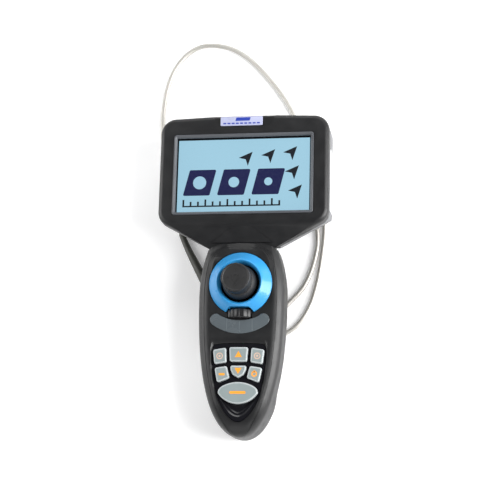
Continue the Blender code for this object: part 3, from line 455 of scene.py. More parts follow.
def prism(name, outline, low, high, look="shell_black", top=None, bottom=None):
    """Extrude a closed XY outline, with optional (width, segments) bevels at either end."""
    bm = bmesh.new()
    lower = [bm.verts.new((x, y, low)) for x, y in outline]
    upper = [bm.verts.new((x, y, high)) for x, y in outline]
    bm.faces.new(lower)
    bm.faces.new(upper)
    bridge(bm, lower, upper)
    bmesh.ops.recalc_face_normals(bm, faces=bm.faces)
    for height, bevel in ((high, top), (low, bottom)):
        if bevel:
            edges = [e for e in bm.edges if all(abs(v.co.z - height) < 1e-5 for v in e.verts)]
            bmesh.ops.bevel(bm, geom=edges, offset=bevel[0], offset_type="OFFSET",
                            segments=bevel[1], profile=0.5, affect="EDGES", clamp_overlap=True)
    return finish(name, bm, look)


def box(name, low, high):
    return prism(name, rectangle(*low[:2], *high[:2]), low[2], high[2])


def circle(count):
    """Directions round a circle, as (cosine, sine)."""
    angles = [2 * pi * k / count for k in range(count)]
    return [(cos(a), sin(a)) for a in angles]


def turned(name, profile, centre, axis="Z", steps=64, look="steel"):
    """Revolve (radius, height) points. A profile that starts off the axis is a closed loop."""
    bm = bmesh.new()
    rings = []
    for radius, height in profile:
        if radius < 1e-6:
            rings.append([bm.verts.new((0.0, 0.0, height))])
        else:
            rings.append([bm.verts.new((radius * x, radius * y, height))
                          for x, y in circle(steps)])
    pairs = list(zip(rings, rings[1:]))
    if profile[0][0] > 1e-6:
        pairs.append((rings[-1], rings[0]))
    for first, second in pairs:
        bridge(bm, first, second)
    turn = {"Z": Matrix.Identity(4), "Y": Matrix.Rotation(-pi / 2, 4, "X")}[axis]
    bmesh.ops.transform(bm, matrix=Matrix.Translation(Vector(centre)) @ turn,
                        verts=bm.verts)
    return finish(name, bm, look)


def rod(name, centre, radius, low, high, axis="Z", steps=40):
    return turned(name, [(0, low), (radius, low), (radius, high), (0, high)], centre, axis, steps)


def loft(name, sections, look="shell_black"):
    bm = bmesh.new()
    rings = [[bm.verts.new(p) for p in section] for section in sections]
    for first, second in zip(rings, rings[1:]):
        bridge(bm, first, second)
    bm.faces.new(rings[0])
    bm.faces.new(rings[-1])
    return finish(name, bm, look)


BOX_FACES = ((0, 1, 2, 3), (4, 5, 6, 7), (0, 1, 5, 4), (1, 2, 6, 5), (2, 3, 7, 6), (3, 0, 4, 7))


def wedge(name, points):
    """A block with flat sides, from four corners and the four opposite them."""
    bm = bmesh.new()
    verts = [bm.verts.new(p) for p in points]
    for face in BOX_FACES:
        bm.faces.new([verts[i] for i in face])
    return finish(name, bm, "shell_black")


def oval_arc(cx, cy, radius_x, radius_y, start, end, steps=12):
    angles = [radians(start + (end - start) * k / steps) for k in range(steps + 1)]
    return [(cx + radius_x * cos(a), cy + radius_y * sin(a)) for a in angles]


def arc(cx, cy, radius, start, end, steps):
    return oval_arc(cx, cy, radius, radius, start, end, steps)


def rounded(points, radii, steps=8):
    """Round each corner of a closed outline; radii is one number or one for each corner."""
    result = []
    count = len(points)
    if not isinstance(radii, (list, tuple)):
        radii = [radii] * count
    for i, radius in enumerate(radii):
        corner = Vector(points[i])
        if radius <= 0:
            result.append(tuple(corner))
            continue
        before = (Vector(points[i - 1]) - corner).normalized()
        after = (Vector(points[(i + 1) % count]) - corner).normalized()
        half = before.angle(after) / 2
        reach = radius / tan(half)
        centre = corner + (before + after).normalized() * radius / sin(half)
        start = corner + before * reach - centre
        sweep = start.angle_signed(corner + after * reach - centre)
        for k in range(steps + 1):
            turn = Matrix.Rotation(-sweep * k / steps, 2)
            result.append(tuple(centre + turn @ start))
    return result


def rectangle(low_x, low_y, high_x, high_y, radius=0.0, steps=6):
    return rounded([(low_x, low_y), (high_x, low_y), (high_x, high_y), (low_x, high_y)], radius,
                   steps)


def mirrored(right_side):
    return right_side + [(-x, y) for x, y in reversed(right_side) if abs(x) > 1e-6]


def flipped(points):
    return [(-x, y) for x, y in reversed(points)]


def level(points, z):
    return [(x, y, z) for x, y in points]


def softened(points, rounds=2):
    """Cut the corners of a closed outline again and again until it is smooth."""
    for _ in range(rounds):
        points = [(a[0] * near + b[0] * (1 - near), a[1] * near + b[1] * (1 - near))
                  for a, b in zip(points, points[1:] + points[:1]) for near in (0.75, 0.25)]
    return points


def scaled_about(points, grow):
    """Grow or shrink a convex outline by moving each side along its normal."""
    result = []
    count = len(points)
    for i in range(count):
        here = Vector(points[i])
        before = (here - Vector(points[i - 1])).normalized()
        after = (Vector(points[(i + 1) % count]) - here).normalized()
        normal_a = Vector((before.y, -before.x))
        normal_b = Vector((after.y, -after.x))
        bisector = (normal_a + normal_b).normalized()
        result.append(tuple(here + bisector * grow / max(0.3, bisector.dot(normal_a))))
    return result


def curve_through(points, steps):
    """Catmull-Rom points through the given points of any dimension."""
    fine = []
    count = len(points)
    for i in range(count - 1):
        p0, p1, p2, p3 = (Vector(points[j]) for j in (max(i - 1, 0), i, i + 1,
                                                      min(i + 2, count - 1)))
        for k in range(steps):
            t = k / steps
            fine.append(0.5 * ((2 * p1) + (p2 - p0) * t + (2 * p0 - 5 * p1 + 4 * p2 - p3) * t * t
                               + (3 * p1 - p0 - 3 * p2 + p3) * t ** 3))
    fine.append(Vector(points[-1]))
    return fine


# ---- casings ----
def head_outline(inset=0.0):
    side = HEAD_HALF_WIDTH - inset
    points = [
        (-CHIN_HALF, CHIN_Y + inset * 1.13), (CHIN_HALF, CHIN_Y + inset * 1.13),
        (side, CHIN_SIDE_Y + inset * 0.6), (side, HEAD_TOP - HEAD_CROWN - inset),
        (HEAD_FLAT, HEAD_TOP - inset), (-HEAD_FLAT, HEAD_TOP - inset),
        (-side, HEAD_TOP - HEAD_CROWN - inset), (-side, CHIN_SIDE_Y + inset * 0.6),
    ]
    corner = HEAD_CORNER - inset
    return rounded(points, [0, 0, corner, corner, 0, 0, corner, corner], 12)


def grip_half_width(y):
    if y >= GRIP_WIDEST_Y:
        rise = (y - GRIP_WIDEST_Y) / 36.0
        return GRIP_HALF_WIDTH * (1 - 0.17 * rise * rise)
    drop = min(1.0, (GRIP_WIDEST_Y - y) / (GRIP_WIDEST_Y - TAIL_Y))
    return GRIP_HALF_WIDTH * (1 - drop ** 2.4) ** (1 / 2.2)


def grip_top(y):
    start = -104.0
    if y > start:
        return GRIP_Z
    drop = (start - y) / (start - TAIL_Y)
    return GRIP_Z - 15.0 * (1 - sqrt(max(0.0, 1 - drop ** 2.2)))


def grip_back(y):
    if y > ARCH_END_Y:
        return ARCH_Z
    if y > HEEL_Y:
        part = (ARCH_END_Y - y) / (ARCH_END_Y - HEEL_Y)
        return ARCH_Z * 0.5 * (1 + cos(pi * part))
    rise = max(0.0, (-124.0 - y) / (-124.0 - TAIL_Y))
    return 8.0 * (1 - sqrt(max(0.0, 1 - rise * rise)))


def stations(first, last, count):
    """Y places along the handle, crowded towards the tail."""
    return [first + (last - first) * sin(pi / 2 * k / count) for k in range(count + 1)]


def both_sides(right, y):
    """A closed section across the handle at y, from its right half."""
    return [(x, y, z) for x, z in right + flipped(right)]


def front_section(y, inset=0.0, foot=SEAM_GRIP, groove=0.0):
    half = max(0.8, grip_half_width(y) - inset)
    top = grip_top(y) - inset
    radius_x = min(10.0, half * 0.6)
    radius_z = min(9.0, (top - foot) * 0.8)
    centre = (half - radius_x, top - radius_z)
    right = [(half, foot)] + oval_arc(*centre, radius_x, radius_z, 0, GROOVE_AT - 2, 9)
    right += oval_arc(*centre, radius_x - groove, radius_z - groove, GROOVE_AT - 1, GROOVE_AT + 1, 1)
    right += oval_arc(*centre, radius_x, radius_z, GROOVE_AT + 2, 90, 4)
    return both_sides(right, y)


def rear_section(y, inset=0.0, head=SEAM_GRIP - GAP):
    half = max(0.8, grip_half_width(y) - inset)
    low = grip_back(y) + inset
    radius_x = min(11.0, half * 0.6)
    radius_z = min(9.0, max(1.0, (SEAM_GRIP - low) * 0.8))
    corner = oval_arc(half - radius_x, low + radius_z, radius_x, radius_z, 0, -90)
    return both_sides([(half, head)] + corner, y)


def grip_bound():
    """The space the handle's front may fill: open at the tail, arched across the top."""
    half = grip_half_width(GRIP_TOP_Y) + 0.1
    arc_y = GRIP_ARC_TOP - GRIP_ARC_R
    reach = degrees(asin((half - 5.0) / GRIP_ARC_R))
    corner_y = arc_y + sqrt(GRIP_ARC_R * GRIP_ARC_R - half * half)
    top_edge = arc(0.0, arc_y, GRIP_ARC_R, 90 - reach, 90 + reach, 40)
    right = [(60.0, TAIL_Y - 10.0), (60.0, GRIP_TOP_Y - 2.0), (half, GRIP_TOP_Y - 2.0),
             (half, corner_y)]
    radii = [0, 0, 0, 5.5] + [0] * len(top_edge) + [5.5, 0, 0, 0]
    outline = rounded(right + top_edge + flipped(right), radii, 10)
    return prism("bound", outline, 10.0, GRIP_Z + 0.02, top=(1.2, 5))


def wheel_room(high):
    return rod("wheel_room", (0, 0, WHEEL_Z), WHEEL_R + 0.5, WHEEL_LOW - 0.5, high, "Y", 64)


def lens_outline(grow=0.0):
    end = 4.9 + grow
    points = arc(0.0, -12.7, 37.2 + grow, 233.9, 306.1, 36)
    points += arc(19.4, -38.5, end, -53.1, 119.8, 16)
    points += arc(0.0, -4.6, 34.5 - grow, 299.0, 241.0, 30)
    points += arc(-19.4, -38.5, end, 60.2, 233.1, 16)
    return points


def guide_outline(grow=0.0):
    points = arc(0.0, -19.7, 27.4 + grow, 235.5 - grow, 304.5 + grow, 16)
    points += arc(0.0, -3.1, 38.8 - grow, 293.5 + grow, 246.5 - grow, 16)
    return points


def keypad_outline(inset):
    half = 22.2 - inset
    right = [(0.0, -121.2 + inset * 1.1), (4.0 - inset * 0.3, -120.2 + inset),
             (8.6 - inset * 0.7, -116.4 + inset * 0.8), (13.2 - inset * 0.85, -110.0 + inset * 0.5),
             (16.6 - inset * 0.95, -103.0 + inset * 0.3), (19.2 - inset, -94.0),
             (21.2 - inset, -82.0), (half, -70.0), (half, -60.5 - inset * 0.3),
             (half - 2.6, -57.4 - inset)]
    return softened(mirrored(right))


def keypad_funnel():
    """The soft edge of the keypad recess, with a longer slope at its upper end."""
    low_ring = keypad_outline(0.0)
    middle_y = -88.0
    rings = []
    for z, flare, lift in ((PLATE_TOP_Z - 0.6, 0.0, 0.0), (PLATE_TOP_Z, 0.0, 0.0),
                           (PLATE_TOP_Z + 0.5, 0.45, 0.5), (GRIP_Z - 0.3, 0.9, 2.0),
                           (GRIP_Z, 1.35, 3.6), (GRIP_Z + 0.5, 2.2, 6.0)):
        ring = []
        for x, y in low_ring:
            away = Vector((x, (y - middle_y) * 0.7)).normalized()
            high_end = max(0.0, min(1.0, (y + 64.0) / 6.0))
            ring.append((x + away.x * flare, y + away.y * flare * 0.8 + high_end * lift, z))
        rings.append(ring)
    return loft("funnel", rings)


def terrace(inset, drop):
    """Cutter for one shallow step along the handle's arched top, fading down its two sides."""
    start_y, end_y = -14.0, GRIP_ARC_TOP + 8
    base = [(-60, start_y, GRIP_Z), (60, start_y, GRIP_Z), (60, end_y, GRIP_Z - drop),
            (-60, end_y, GRIP_Z - drop)]
    cutter = wedge("terrace", base + [(x, y, GRIP_Z + 6) for x, y, _ in base])

    def outline(back, z):
        side = grip_half_width(GRIP_TOP_Y) - back
        right = [(side + 1.2, -60.0), (side + 1.2, -12.0), (side + 0.6, 2.0), (side - 1.0, 10.0),
                 (side - 4.4, 16.6), (side - 11.0, 21.4), (10.0, GRIP_ARC_TOP - back - 0.8),
                 (0.0, GRIP_ARC_TOP - back)]
        return level(softened(mirrored(right), 3), z)

    # The step's riser leans back so that it catches the light.
    return cut(cutter, loft("core", [outline(inset - 8.7, GRIP_Z - 5.0), outline(inset, GRIP_Z),
                                     outline(inset + 0.01, GRIP_Z + 12.0)]))


def make_front_shell():
    shell = prism("front_casing", head_outline(), SEAM_HEAD, FACE_Z, top=(4.0, 8))
    wide = HEAD_HALF_WIDTH + 5
    ridge, foot = (CHIN_FOLD_Y, FACE_Z), (15.0, 40.5)
    above = FACE_Z + 9
    cut(shell, wedge("slope", [(side * wide, y, z) for side in (-1, 1)
                               for y, z in (ridge, foot, (foot[0], above), (ridge[0], above))]))
    # The neck fairing, proud of the chin between two creases and flush with it at its top.
    fall = (ridge[1] - foot[1]) / (ridge[0] - foot[0])

    def chin_z(y):
        return FACE_Z - (CHIN_FOLD_Y - y) * fall

    join(shell, wedge("fairing", [
        (-26.0, 25.4, chin_z(25.4) - 2), (26.0, 25.4, chin_z(25.4) - 2), (9.0, 39.6, 42.0),
        (-9.0, 39.6, 42.0), (-25.0, 26.0, chin_z(26.0) + 1.5), (25.0, 26.0, chin_z(26.0) + 1.5),
        (8.0, 39.2, chin_z(39.2) + 0.05), (-8.0, 39.2, chin_z(39.2) + 0.05)]))
    places = stations(29.5, -132.1, 64)
    grip = loft("grip", [front_section(y, groove=GROOVE_DEPTH) for y in places])
    boolean(grip, grip_bound(), "INTERSECT")
    cut(grip, terrace(6.6, 0.83), terrace(5.65, 1.65), terrace(4.7, 2.48))
    join(shell, grip)
    cut(shell, prism("cavity", head_outline(WALL + 0.2), SEAM_HEAD - 5, FACE_Z - 6.8))
    cut(shell, prism("room", rectangle(-59.6, 48.6, 59.0, 119.4, 2.0), SEAM_HEAD - 5, 46.0))
    cut(shell, loft("grip_room", [front_section(y, WALL, 10.0)
                                  for y in stations(12.0, -126.5, 16)]))
    cut(shell, prism("throat", rectangle(-26.5, 10.0, 26.5, 40.0), 10.0, 40.4 - WALL))
    low_x, high_x = SCREEN_X - LIP_HALF_W, SCREEN_X + LIP_HALF_W
    cut(shell, prism("window", rectangle(low_x, LIP_LOW, high_x, LIP_HIGH, 2.6), *THROUGH))
    cut(shell, prism("badge_recess", rounded([
        (-20.6, 125.4), (20.6, 125.4), (25.4, 131.5), (25.4, 140.0), (-25.4, 140.0),
        (-25.4, 131.5)], [1.0, 1.0, 2.0, 0, 0, 2.0], 5), FACE_Z - 0.5, 60.0))
    cut(shell, rod("ring_seat", (0, STICK_Y, 0), RING_R + 0.4, 44.4, 60.0, steps=96))
    cut(shell, rod("ring_bore", (0, STICK_Y, 0), 22.2, *THROUGH, steps=72))
    cut(shell, wheel_room(WHEEL_HIGH + 2.0))
    cut(shell, prism("lens_seat", lens_outline(0.3), 45.0, 60.0))
    cut(shell, prism("guide_bore", guide_outline(0.5), *THROUGH))
    cut(shell, prism("keypad_seat", keypad_outline(0.0), *THROUGH), keypad_funnel())
    return show(shell, "housing", "shell_black", "front_shell")


def chin_undercut(inset=0.0):
    """Cutter below the chin that leans inwards towards the back, so the rear cover tapers."""
    rise = (CHIN_SIDE_Y - CHIN_Y) / (HEAD_HALF_WIDTH - CHIN_HALF)
    edge_y = CHIN_Y + rise * (90.0 - CHIN_HALF)
    sections = []
    for z in (SEAM_HEAD, -2.0):
        lift = (SEAM_HEAD - z) * CHIN_TAPER + inset
        outline = [(-90.0, edge_y + lift), (-CHIN_HALF, CHIN_Y + lift), (CHIN_HALF, CHIN_Y + lift),
                   (90.0, edge_y + lift), (90.0, -40.0), (-90.0, -40.0)]
        sections.append(level(outline, z))
    return loft("undercut", sections)


def add_bosses(shell, places, low, seat):
    """Screw bosses, with a counterbore up to the seat of the screw's head."""
    for x, y in places:
        join(shell, rod("boss", (x, y, 0), BOSS_R, low, BOSS_TOP))
        cut(shell, rod("counterbore", (x, y, 0), 3.1, 5.0, seat),
            rod("clearance", (x, y, 0), 1.7, 5.0, 25.0, steps=24))


def make_head_rear_cover():
    high = SEAM_HEAD - 1.0
    cover = prism("rear_casing", head_outline(), HEAD_BACK, high, "cover_grey", bottom=(4, 8))
    join(cover, prism("bulge", rectangle(-BULGE_HALF, BULGE_LOW, BULGE_HALF, BULGE_HIGH, 4.0, 8),
                      0.0, HEAD_BACK + 2, bottom=(1.0, 3)))
    room = prism("room", head_outline(WALL), HEAD_BACK + WALL, 60.0)
    cut(room, chin_undercut(WALL * 1.15))
    cut(cover, chin_undercut(), room)
    cut(cover, box("battery_room", (-31.5, 74.5, 2.7), (31.5, 117.2, 30.0)))
    cut(cover, box("door_way", (-31.0, 74.0, -1.0), (31.0, BULGE_HIGH + 2, 2.8)))
    cut(cover, box("neck_low", (-80, 10, -1), (80, 20.4, 60)))
    cut(cover, prism("neck_high", mirrored([(31.6, 5), (31.6, 20.0), (28.6, 28.4)]),
                     SEAM_GRIP - 0.6, 60))
    cut(cover, box("port_recess", (70.0, 53.6, 17.0), (80.0, 107.4, 36.0)))
    cut(cover, box("port_way", (60.0, 62.0, 20.0), (80.0, 100.0, 33.5)))
    cut(cover, rod("hinge_groove", HINGE, 1.7, -27.4, 27.4, "Y", 32))
    # Two rows of cooling slots and a shallow blank label field on the back.
    for side in (-1, 1):
        for k in range(6):
            y = 72.0 + VENT_PITCH * k
            slot = rectangle(side * 52.0 - 8.0, y, side * 52.0 + 8.0, y + 1.8, 0.85, 4)
            cut(cover, prism("vent", slot, HEAD_BACK - 1.0, HEAD_BACK + 1.1))
    cut(cover, prism("label_field", rectangle(-27.0, 40.0, 27.0, 60.0, 2.0), HEAD_BACK - 1.0,
                     HEAD_BACK + 0.4))
    add_bosses(cover, SCREW_HEAD, HEAD_BACK + 0.8, 14.6)
    return show(cover, "housing", "cover_grey", "head_rear_cover")


def outlet_points(corners):
    """Corners given as (along, across) the cord's outlet, in the frame's own axes."""
    sx, sy = OUTLET[:2]
    dx, dy = OUTLET_DIR
    return [(sx + dx * a + dy * s, sy + dy * a - dx * s) for a, s in corners]


def make_handle_rear_shell():
    shell = loft("handle_back", [rear_section(y) for y in stations(20.0, -132.1, 60)])
    pod = outlet_points(((-24.0, -5.0), (-21.5, -7.5), (-8.0, -7.5), (-8.0, 7.5), (-21.5, 7.5),
                         (-24.0, 5.0)))
    join(shell, prism("pod", rounded(pod, 1.6, 6), 1.2, ARCH_Z + 1.5, bottom=(1.2, 5)))
    # Soft grip ribs for the fingers, across the arch.
    for k in range(6):
        y = -58.0 - RIB_PITCH * k
        join(shell, prism("rib", rectangle(-19.0, y, 19.0, y + 1.7, 0.8, 4), ARCH_Z - 0.6,
                          ARCH_Z + 0.6, bottom=(0.35, 2)))
    cut(shell, loft("room", [rear_section(y, WALL, 40.0) for y in stations(8.0, -126.0, 14)]))
    cut(shell, box("upper_room", (-26.5, 7.0, ARCH_Z + WALL), (26.5, 30.0, 40.0)))
    add_bosses(shell, SCREW_GRIP, ARCH_Z + 1.2, 16.2)
    cut(shell, prism("passage", outlet_points(((-17.0, -2.4), (-7.0, -2.4), (-7.0, 2.4),
                                               (-17.0, 2.4))), OUTLET[2] - 2.4, OUTLET[2] + 2.4))
    return show(shell, "housing", "shell_black", "handle_rear_shell")


# ---- screen ----
def make_screen():
    middle_y = (LIP_LOW + LIP_HIGH) / 2
    outer = rectangle(SCREEN_X - LIP_HALF_W + GAP, LIP_LOW + GAP, SCREEN_X + LIP_HALF_W - GAP,
                      LIP_HIGH - GAP, 2.3)
    lip = prism("screen_lip", outer, 46.3, FACE_Z + 0.5, "lip_grey", top=(0.45, 4))
    half_x, half_y = LIP_HALF_W - LIP_BAND, (LIP_HIGH - LIP_LOW) / 2 - LIP_BAND
    rings = []
    for z, grow in ((45.9, 0.0), (46.35, 0.0), (46.9, 0.25), (47.6, 0.75), (48.3, 1.5), (49.2, 2.5)):
        ring = rectangle(SCREEN_X - half_x - grow, middle_y - half_y - grow,
                         SCREEN_X + half_x + grow, middle_y + half_y + grow, 0.6 + grow * 0.5, 5)
        rings.append(level(ring, z))
    cut(lip, loft("opening", rings))
    show(lip, "housing", "lip_grey", "screen_frame")
    half_w, half_h = SCREEN_W / 2, SCREEN_H / 2
    picture = rectangle(SCREEN_X - half_w, SCREEN_Y - half_h, SCREEN_X + half_w, SCREEN_Y + half_h)
    show(prism("screen_picture", picture, 44.33, 44.40, "picture_light"), "housing", "gloss_black")
    make_graphic()


def dart(cx, cy, size, turn):
    """A plain arrowhead marker, pointing along the turn angle in degrees."""
    shape = [(1.0, 0.0), (-0.75, 0.8), (-0.3, 0.0), (-0.75, -0.8)]
    a = radians(turn)
    return [(cx + size * (x * cos(a) - y * sin(a)),
             cy + size * (x * sin(a) + y * cos(a))) for x, y in shape]


def make_graphic():
    """A made-up start picture: three slanted blocks with round windows, a ruler and five darts."""
    left, low, high, slant = -51.0, 66.6, 88.8, 5.4

    def ink(name, outline, look="picture_dark"):
        return prism("graphic_" + name, outline, INK_LOW, INK_HIGH, look)

    drawn = []
    for k in range(3):
        x = left + 28.9 * k
        block = [(x, low), (x + 22.6, low), (x + 22.6 + slant, high), (x + slant, high)]
        middle = (x + 11.3 + slant / 2, (low + high) / 2)
        drawn.append(cut(ink(f"block_{k + 1}", rounded(block, 1.2, 4), "picture_navy"),
                         rod("hole", (*middle, 0), 5.6 - k * 1.1, 44.0, 45.0, steps=48)))
    for k in range(14):
        x = left + 6.2 * k
        tall = 5.2 if k % 3 == 0 else 3.4
        drawn.append(ink(f"tick_{k + 1}", rectangle(x, 58.0, x + 1.5, 58.0 + tall)))
    drawn.append(ink("rail", rectangle(left, 56.8, left + 82.1, 58.0)))
    darts = ((2.7, 98.7), (21.6, 100.5), (40.0, 102.6), (41.7, 86.0), (44.5, 69.5))
    for k, (x, y) in enumerate(darts):
        drawn.append(ink(f"dart_{k + 1}", dart(x, y, 6.6, 48)))
    for piece in drawn:
        show(piece, "housing", "gloss_black")


def make_badge():
    """The plate above the screen, with a bar and dashes in place of a name."""
    plate = prism("badge", rectangle(-20.0, 125.6, 15.6, 133.4, 0.9), FACE_Z - 0.2, FACE_Z + 0.62,
                  "badge_white", top=(0.25, 3))
    show(plate, "housing", "badge_white", "badge_plate")
    bar = [(-7.5, 129.6), (4.6, 129.6), (5.6, 132.6), (-6.5, 132.6)]
    marks = {"badge_bar": rounded(bar, 0.4, 3)}
    for k in range(9):
        x = -17.6 + 3.55 * k
        marks[f"badge_dash_{k + 1}"] = rectangle(x, 126.9, x + 2.5, 128.1, 0.2, 2)
    for name, outline in marks.items():
        show(prism(name, outline, FACE_Z + 0.6, FACE_Z + 0.68, "print_navy"), "housing",
             "badge_white")


# ---- joystick ----
def make_joystick():
    centre = (0, STICK_Y, 0)
    crown = curve_through([(25.7, 46.3), (24.9, 47.2), (22.8, 49.6), (20.7, 52.0), (19.3, 53.4),
                           (18.4, RING_TOP_Z), (17.7, 53.7), (16.9, 52.4), (16.3, 50.6)], 5)
    profile = [(RING_R, 44.7), (RING_R, 45.7)] + [tuple(p) for p in crown]
    profile += [(RING_HOLE_R, 48.6), (RING_HOLE_R, 44.7)]
    ring = turned("ring_bezel", profile, centre, steps=128, look="ring_blue")
    notch = [(-14.6, -37.0), (14.6, -37.0), (11.0, -31.2), (8.2, -28.7), (-8.2, -28.7),
             (-11.0, -31.2)]
    cut(ring, prism("notch", rounded(notch, [0, 0, 1.5, 1.5, 1.5, 1.5], 6), *THROUGH),
        wheel_room(WHEEL_HIGH + 0.6))
    show(ring, "housing", "ring_blue", "joystick_ring")
    skirt = arc(0.0, PIVOT_Z, SKIRT_R, 0, 30, 10)
    skirt += [(12.0, 57.6), (11.4, 57.9), (2.8, 57.9), (2.8, 56.7)]
    skirt += arc(0.0, PIVOT_Z, SKIRT_R - 1.1, 30, 0, 5)
    show(turned("stick_skirt", skirt, centre, look="knob_black"), "joystick", "knob_black",
         "joystick_skirt")
    top = CAP_TOP_Z
    side = curve_through([(10.9, 58.2), (11.35, 58.5), (11.5, 59.2), (11.45, 62.5), (11.5, 67.0),
                          (11.65, 70.0), (CAP_R, 70.8), (11.6, 71.25), (11.2, top - 0.02)], 4)
    cap = turned("stick_cap", [(0, 60.3), (2.75, 60.3), (2.75, 58.2)] + [tuple(p) for p in side]
                 + [(10.8, top), (10.35, 71.35), (9.95, 70.95), (8.5, 70.75), (4.0, 70.6),
                    (0, 70.55)], centre, steps=96, look="knob_black")
    for k in range(4):
        a = radians(90 * k)
        x, y = 6.6 * cos(a), STICK_Y + 6.6 * sin(a)
        join(cap, prism("arrow", rounded(dart(x, y, 1.5, 90 * k), 0.2, 2), 70.4, 71.0,
                        top=(0.12, 2)))
    join(cap, turned("hub", [(2.1, 70.3), (2.1, 70.85), (2.6, 70.95), (3.1, 70.85), (3.1, 70.3)],
                     centre, steps=48))
    one_look(cap, "knob_black")
    show(cap, "joystick", "knob_black", "joystick_cap")


def make_brake_wheel():
    middle = (WHEEL_LOW + WHEEL_HIGH) / 2
    half = (WHEEL_HIGH - WHEEL_LOW) / 2
    flutes = 15
    rings = []
    for y, shrink in ((-half, 0.7), (-half + 0.5, 0.15), (-half + 0.9, 0.0), (half - 0.9, 0.0),
                      (half - 0.5, 0.15), (half, 0.7)):
        ring = []
        for k in range(flutes * 8):
            a = 2 * pi * k / (flutes * 8)
            wave = 0.5 + 0.5 * cos(flutes * a)
            radius = WHEEL_R - shrink - 0.6 * (1 - wave ** 0.6)
            ring.append((radius * cos(a), middle + y, WHEEL_Z + radius * sin(a)))
        rings.append(ring)
    wheel = loft("thumb_wheel", rings, "wheel_black")
    cut(wheel, rod("bore", (0, middle, WHEEL_Z), 1.9, -half - 1, half + 1, "Y", 32))
    show(wheel, "wheel", "knob_black", "brake_wheel")


def make_indicator():
    lens = prism("status_lens", lens_outline(0.0), 45.3, 46.45, "smoke_lens", top=(0.35, 4))
    show(lens, "housing", "smoke_lens", "indicator_lens")
    # Thin printed lines split the lens into four fields.
    for k, angle in enumerate((253.0, 270.0, 287.0)):
        a = radians(angle)
        outward = Vector((cos(a), sin(a)))
        start = Vector((0.0, -4.6)) + outward * 35.3
        end = Vector((0.0, -12.7)) + outward * 36.2
        across = (end - start).orthogonal().normalized() * 0.14
        line = [tuple(start + across), tuple(end + across), tuple(end - across),
                tuple(start - across)]
        show(prism(f"lens_line_{k + 1}", line, 46.4, 46.5, "lens_line"), "housing", "smoke_lens")


# ---- keypad ----
def key_shapes():
    left_high = [(-19.6, -74.9), (-9.8, -73.4), (-10.3, -61.4), (-20.9, -63.2)]
    left_low = [(-16.9, -89.9), (-7.0, -86.0), (-9.5, -76.3), (-19.4, -77.9)]
    up = [(-6.9, -72.9), (6.9, -72.9), (7.7, -61.1), (-7.7, -61.1)]
    return {
        "key_record": (left_high, 1.6),
        "key_up": (up, 1.6),
        "key_light": (flipped(left_high), 1.6),
        "key_zoom": (left_low, 1.6),
        "key_down": ([(-4.3, -83.4), (0.0, -85.9), (4.3, -83.4), (6.2, -79.5), (6.4, -76.0),
                      (-6.4, -76.0), (-6.2, -79.5)], 1.3),
        "key_power": (flipped(left_low), 1.6),
        "key_menu": (arc(0.0, -87.4, 19.4, 207, 333, 24)[1:-1]
                     + [(15.3, -94.4)] + arc(0.0, -115.2, 26.0, 56, 124, 14)[1:-1]
                     + [(-15.3, -94.4)], 0.0),
    }


def key_symbols():
    """Printed marks by key: a list of (outline, hole radius or 0)."""
    def ring(x, y, r):
        return arc(x, y, r, 0, 360 - 360 / 32, 31)

    def dial(x, y):
        return [(ring(x, y, 2.7), 1.9), (ring(x, y, 0.9), 0)]

    return {
        "key_record": dial(-15.3, -68.3),
        "key_up": [([(-2.9, -69.3), (2.9, -69.3), (0.0, -64.2)], 0)],
        "key_light": dial(15.3, -68.3),
        "key_zoom": [(rectangle(-15.6, -84.0, -10.8, -82.2, 0.5), 0)],
        "key_down": [([(-2.9, -77.9), (0.0, -82.9), (2.9, -77.9)], 0)],
        "key_power": [(ring(13.2, -82.8, 2.4), 1.3),
                      (rectangle(12.85, -82.2, 13.55, -79.6, 0.2), 0)],
        "key_menu": [(rectangle(-6.6, -98.8, 6.6, -96.6, 1.0), 0)],
    }


def scoop_outline(inset, z):
    """The hollow between the big key and the lower end of the keypad."""
    right = [(0.0, -117.2 + inset), (4.6 - inset * 0.4, -115.8 + inset),
             (9.2 - inset * 0.7, -111.4 + inset * 0.6), (13.0 - inset, -105.4),
             (14.6 - inset, -102.2 - inset * 0.2), (9.0 - inset * 0.5, -106.0 - inset * 0.4),
             (0.0, -108.4 - inset * 0.4)]
    return level(softened(mirrored(right)), z)


def make_keypad():
    plate = prism("keypad_panel", keypad_outline(GAP + 0.1), 42.6, PLATE_TOP_Z, "gloss_black")
    for inset, high, low in ((0.0, 0.0, 0.7), (2.7, 0.6, 1.3)):
        cut(plate, loft("scoop", [scoop_outline(inset + (low - high) * 1.8, PLATE_TOP_Z - low),
                                  scoop_outline(inset, PLATE_TOP_Z - high),
                                  scoop_outline(inset, PLATE_TOP_Z + 1.0)]))
    symbols = key_symbols()
    for name, (corners, radius) in key_shapes().items():
        body = name + "_cap"
        outline = rounded(corners, radius, 8) if radius else softened(corners)
        cut(plate, prism("slot", scaled_about(outline, 0.35), *THROUGH))
        show(prism(name + "_body", outline, KEY_FOOT_Z, KEY_TOP_Z, "key_grey", top=(0.8, 6)), body,
             "key_grey", name)
        face = scaled_about(outline, -1.15)
        show(prism(name + "_face", face, KEY_TOP_Z - 0.2, KEY_TOP_Z + 0.03, "key_face"), body,
             "key_grey")
        look = "print_faint" if name in FAINT_KEYS else "print_orange"
        for k, (shape, hole) in enumerate(symbols[name]):
            mark = prism(f"{name}_mark_{k + 1}", shape, KEY_TOP_Z, KEY_TOP_Z + 0.06, look)
            if hole:
                middle = sum((Vector(p) for p in shape), Vector((0, 0))) / len(shape)
                cut(mark, rod("hole", (*middle, 0), hole, *THROUGH))
            show(mark, body, "key_grey")
    show(plate, "housing", "gloss_black", "keypad_plate", crease=PLATE_CREASE)


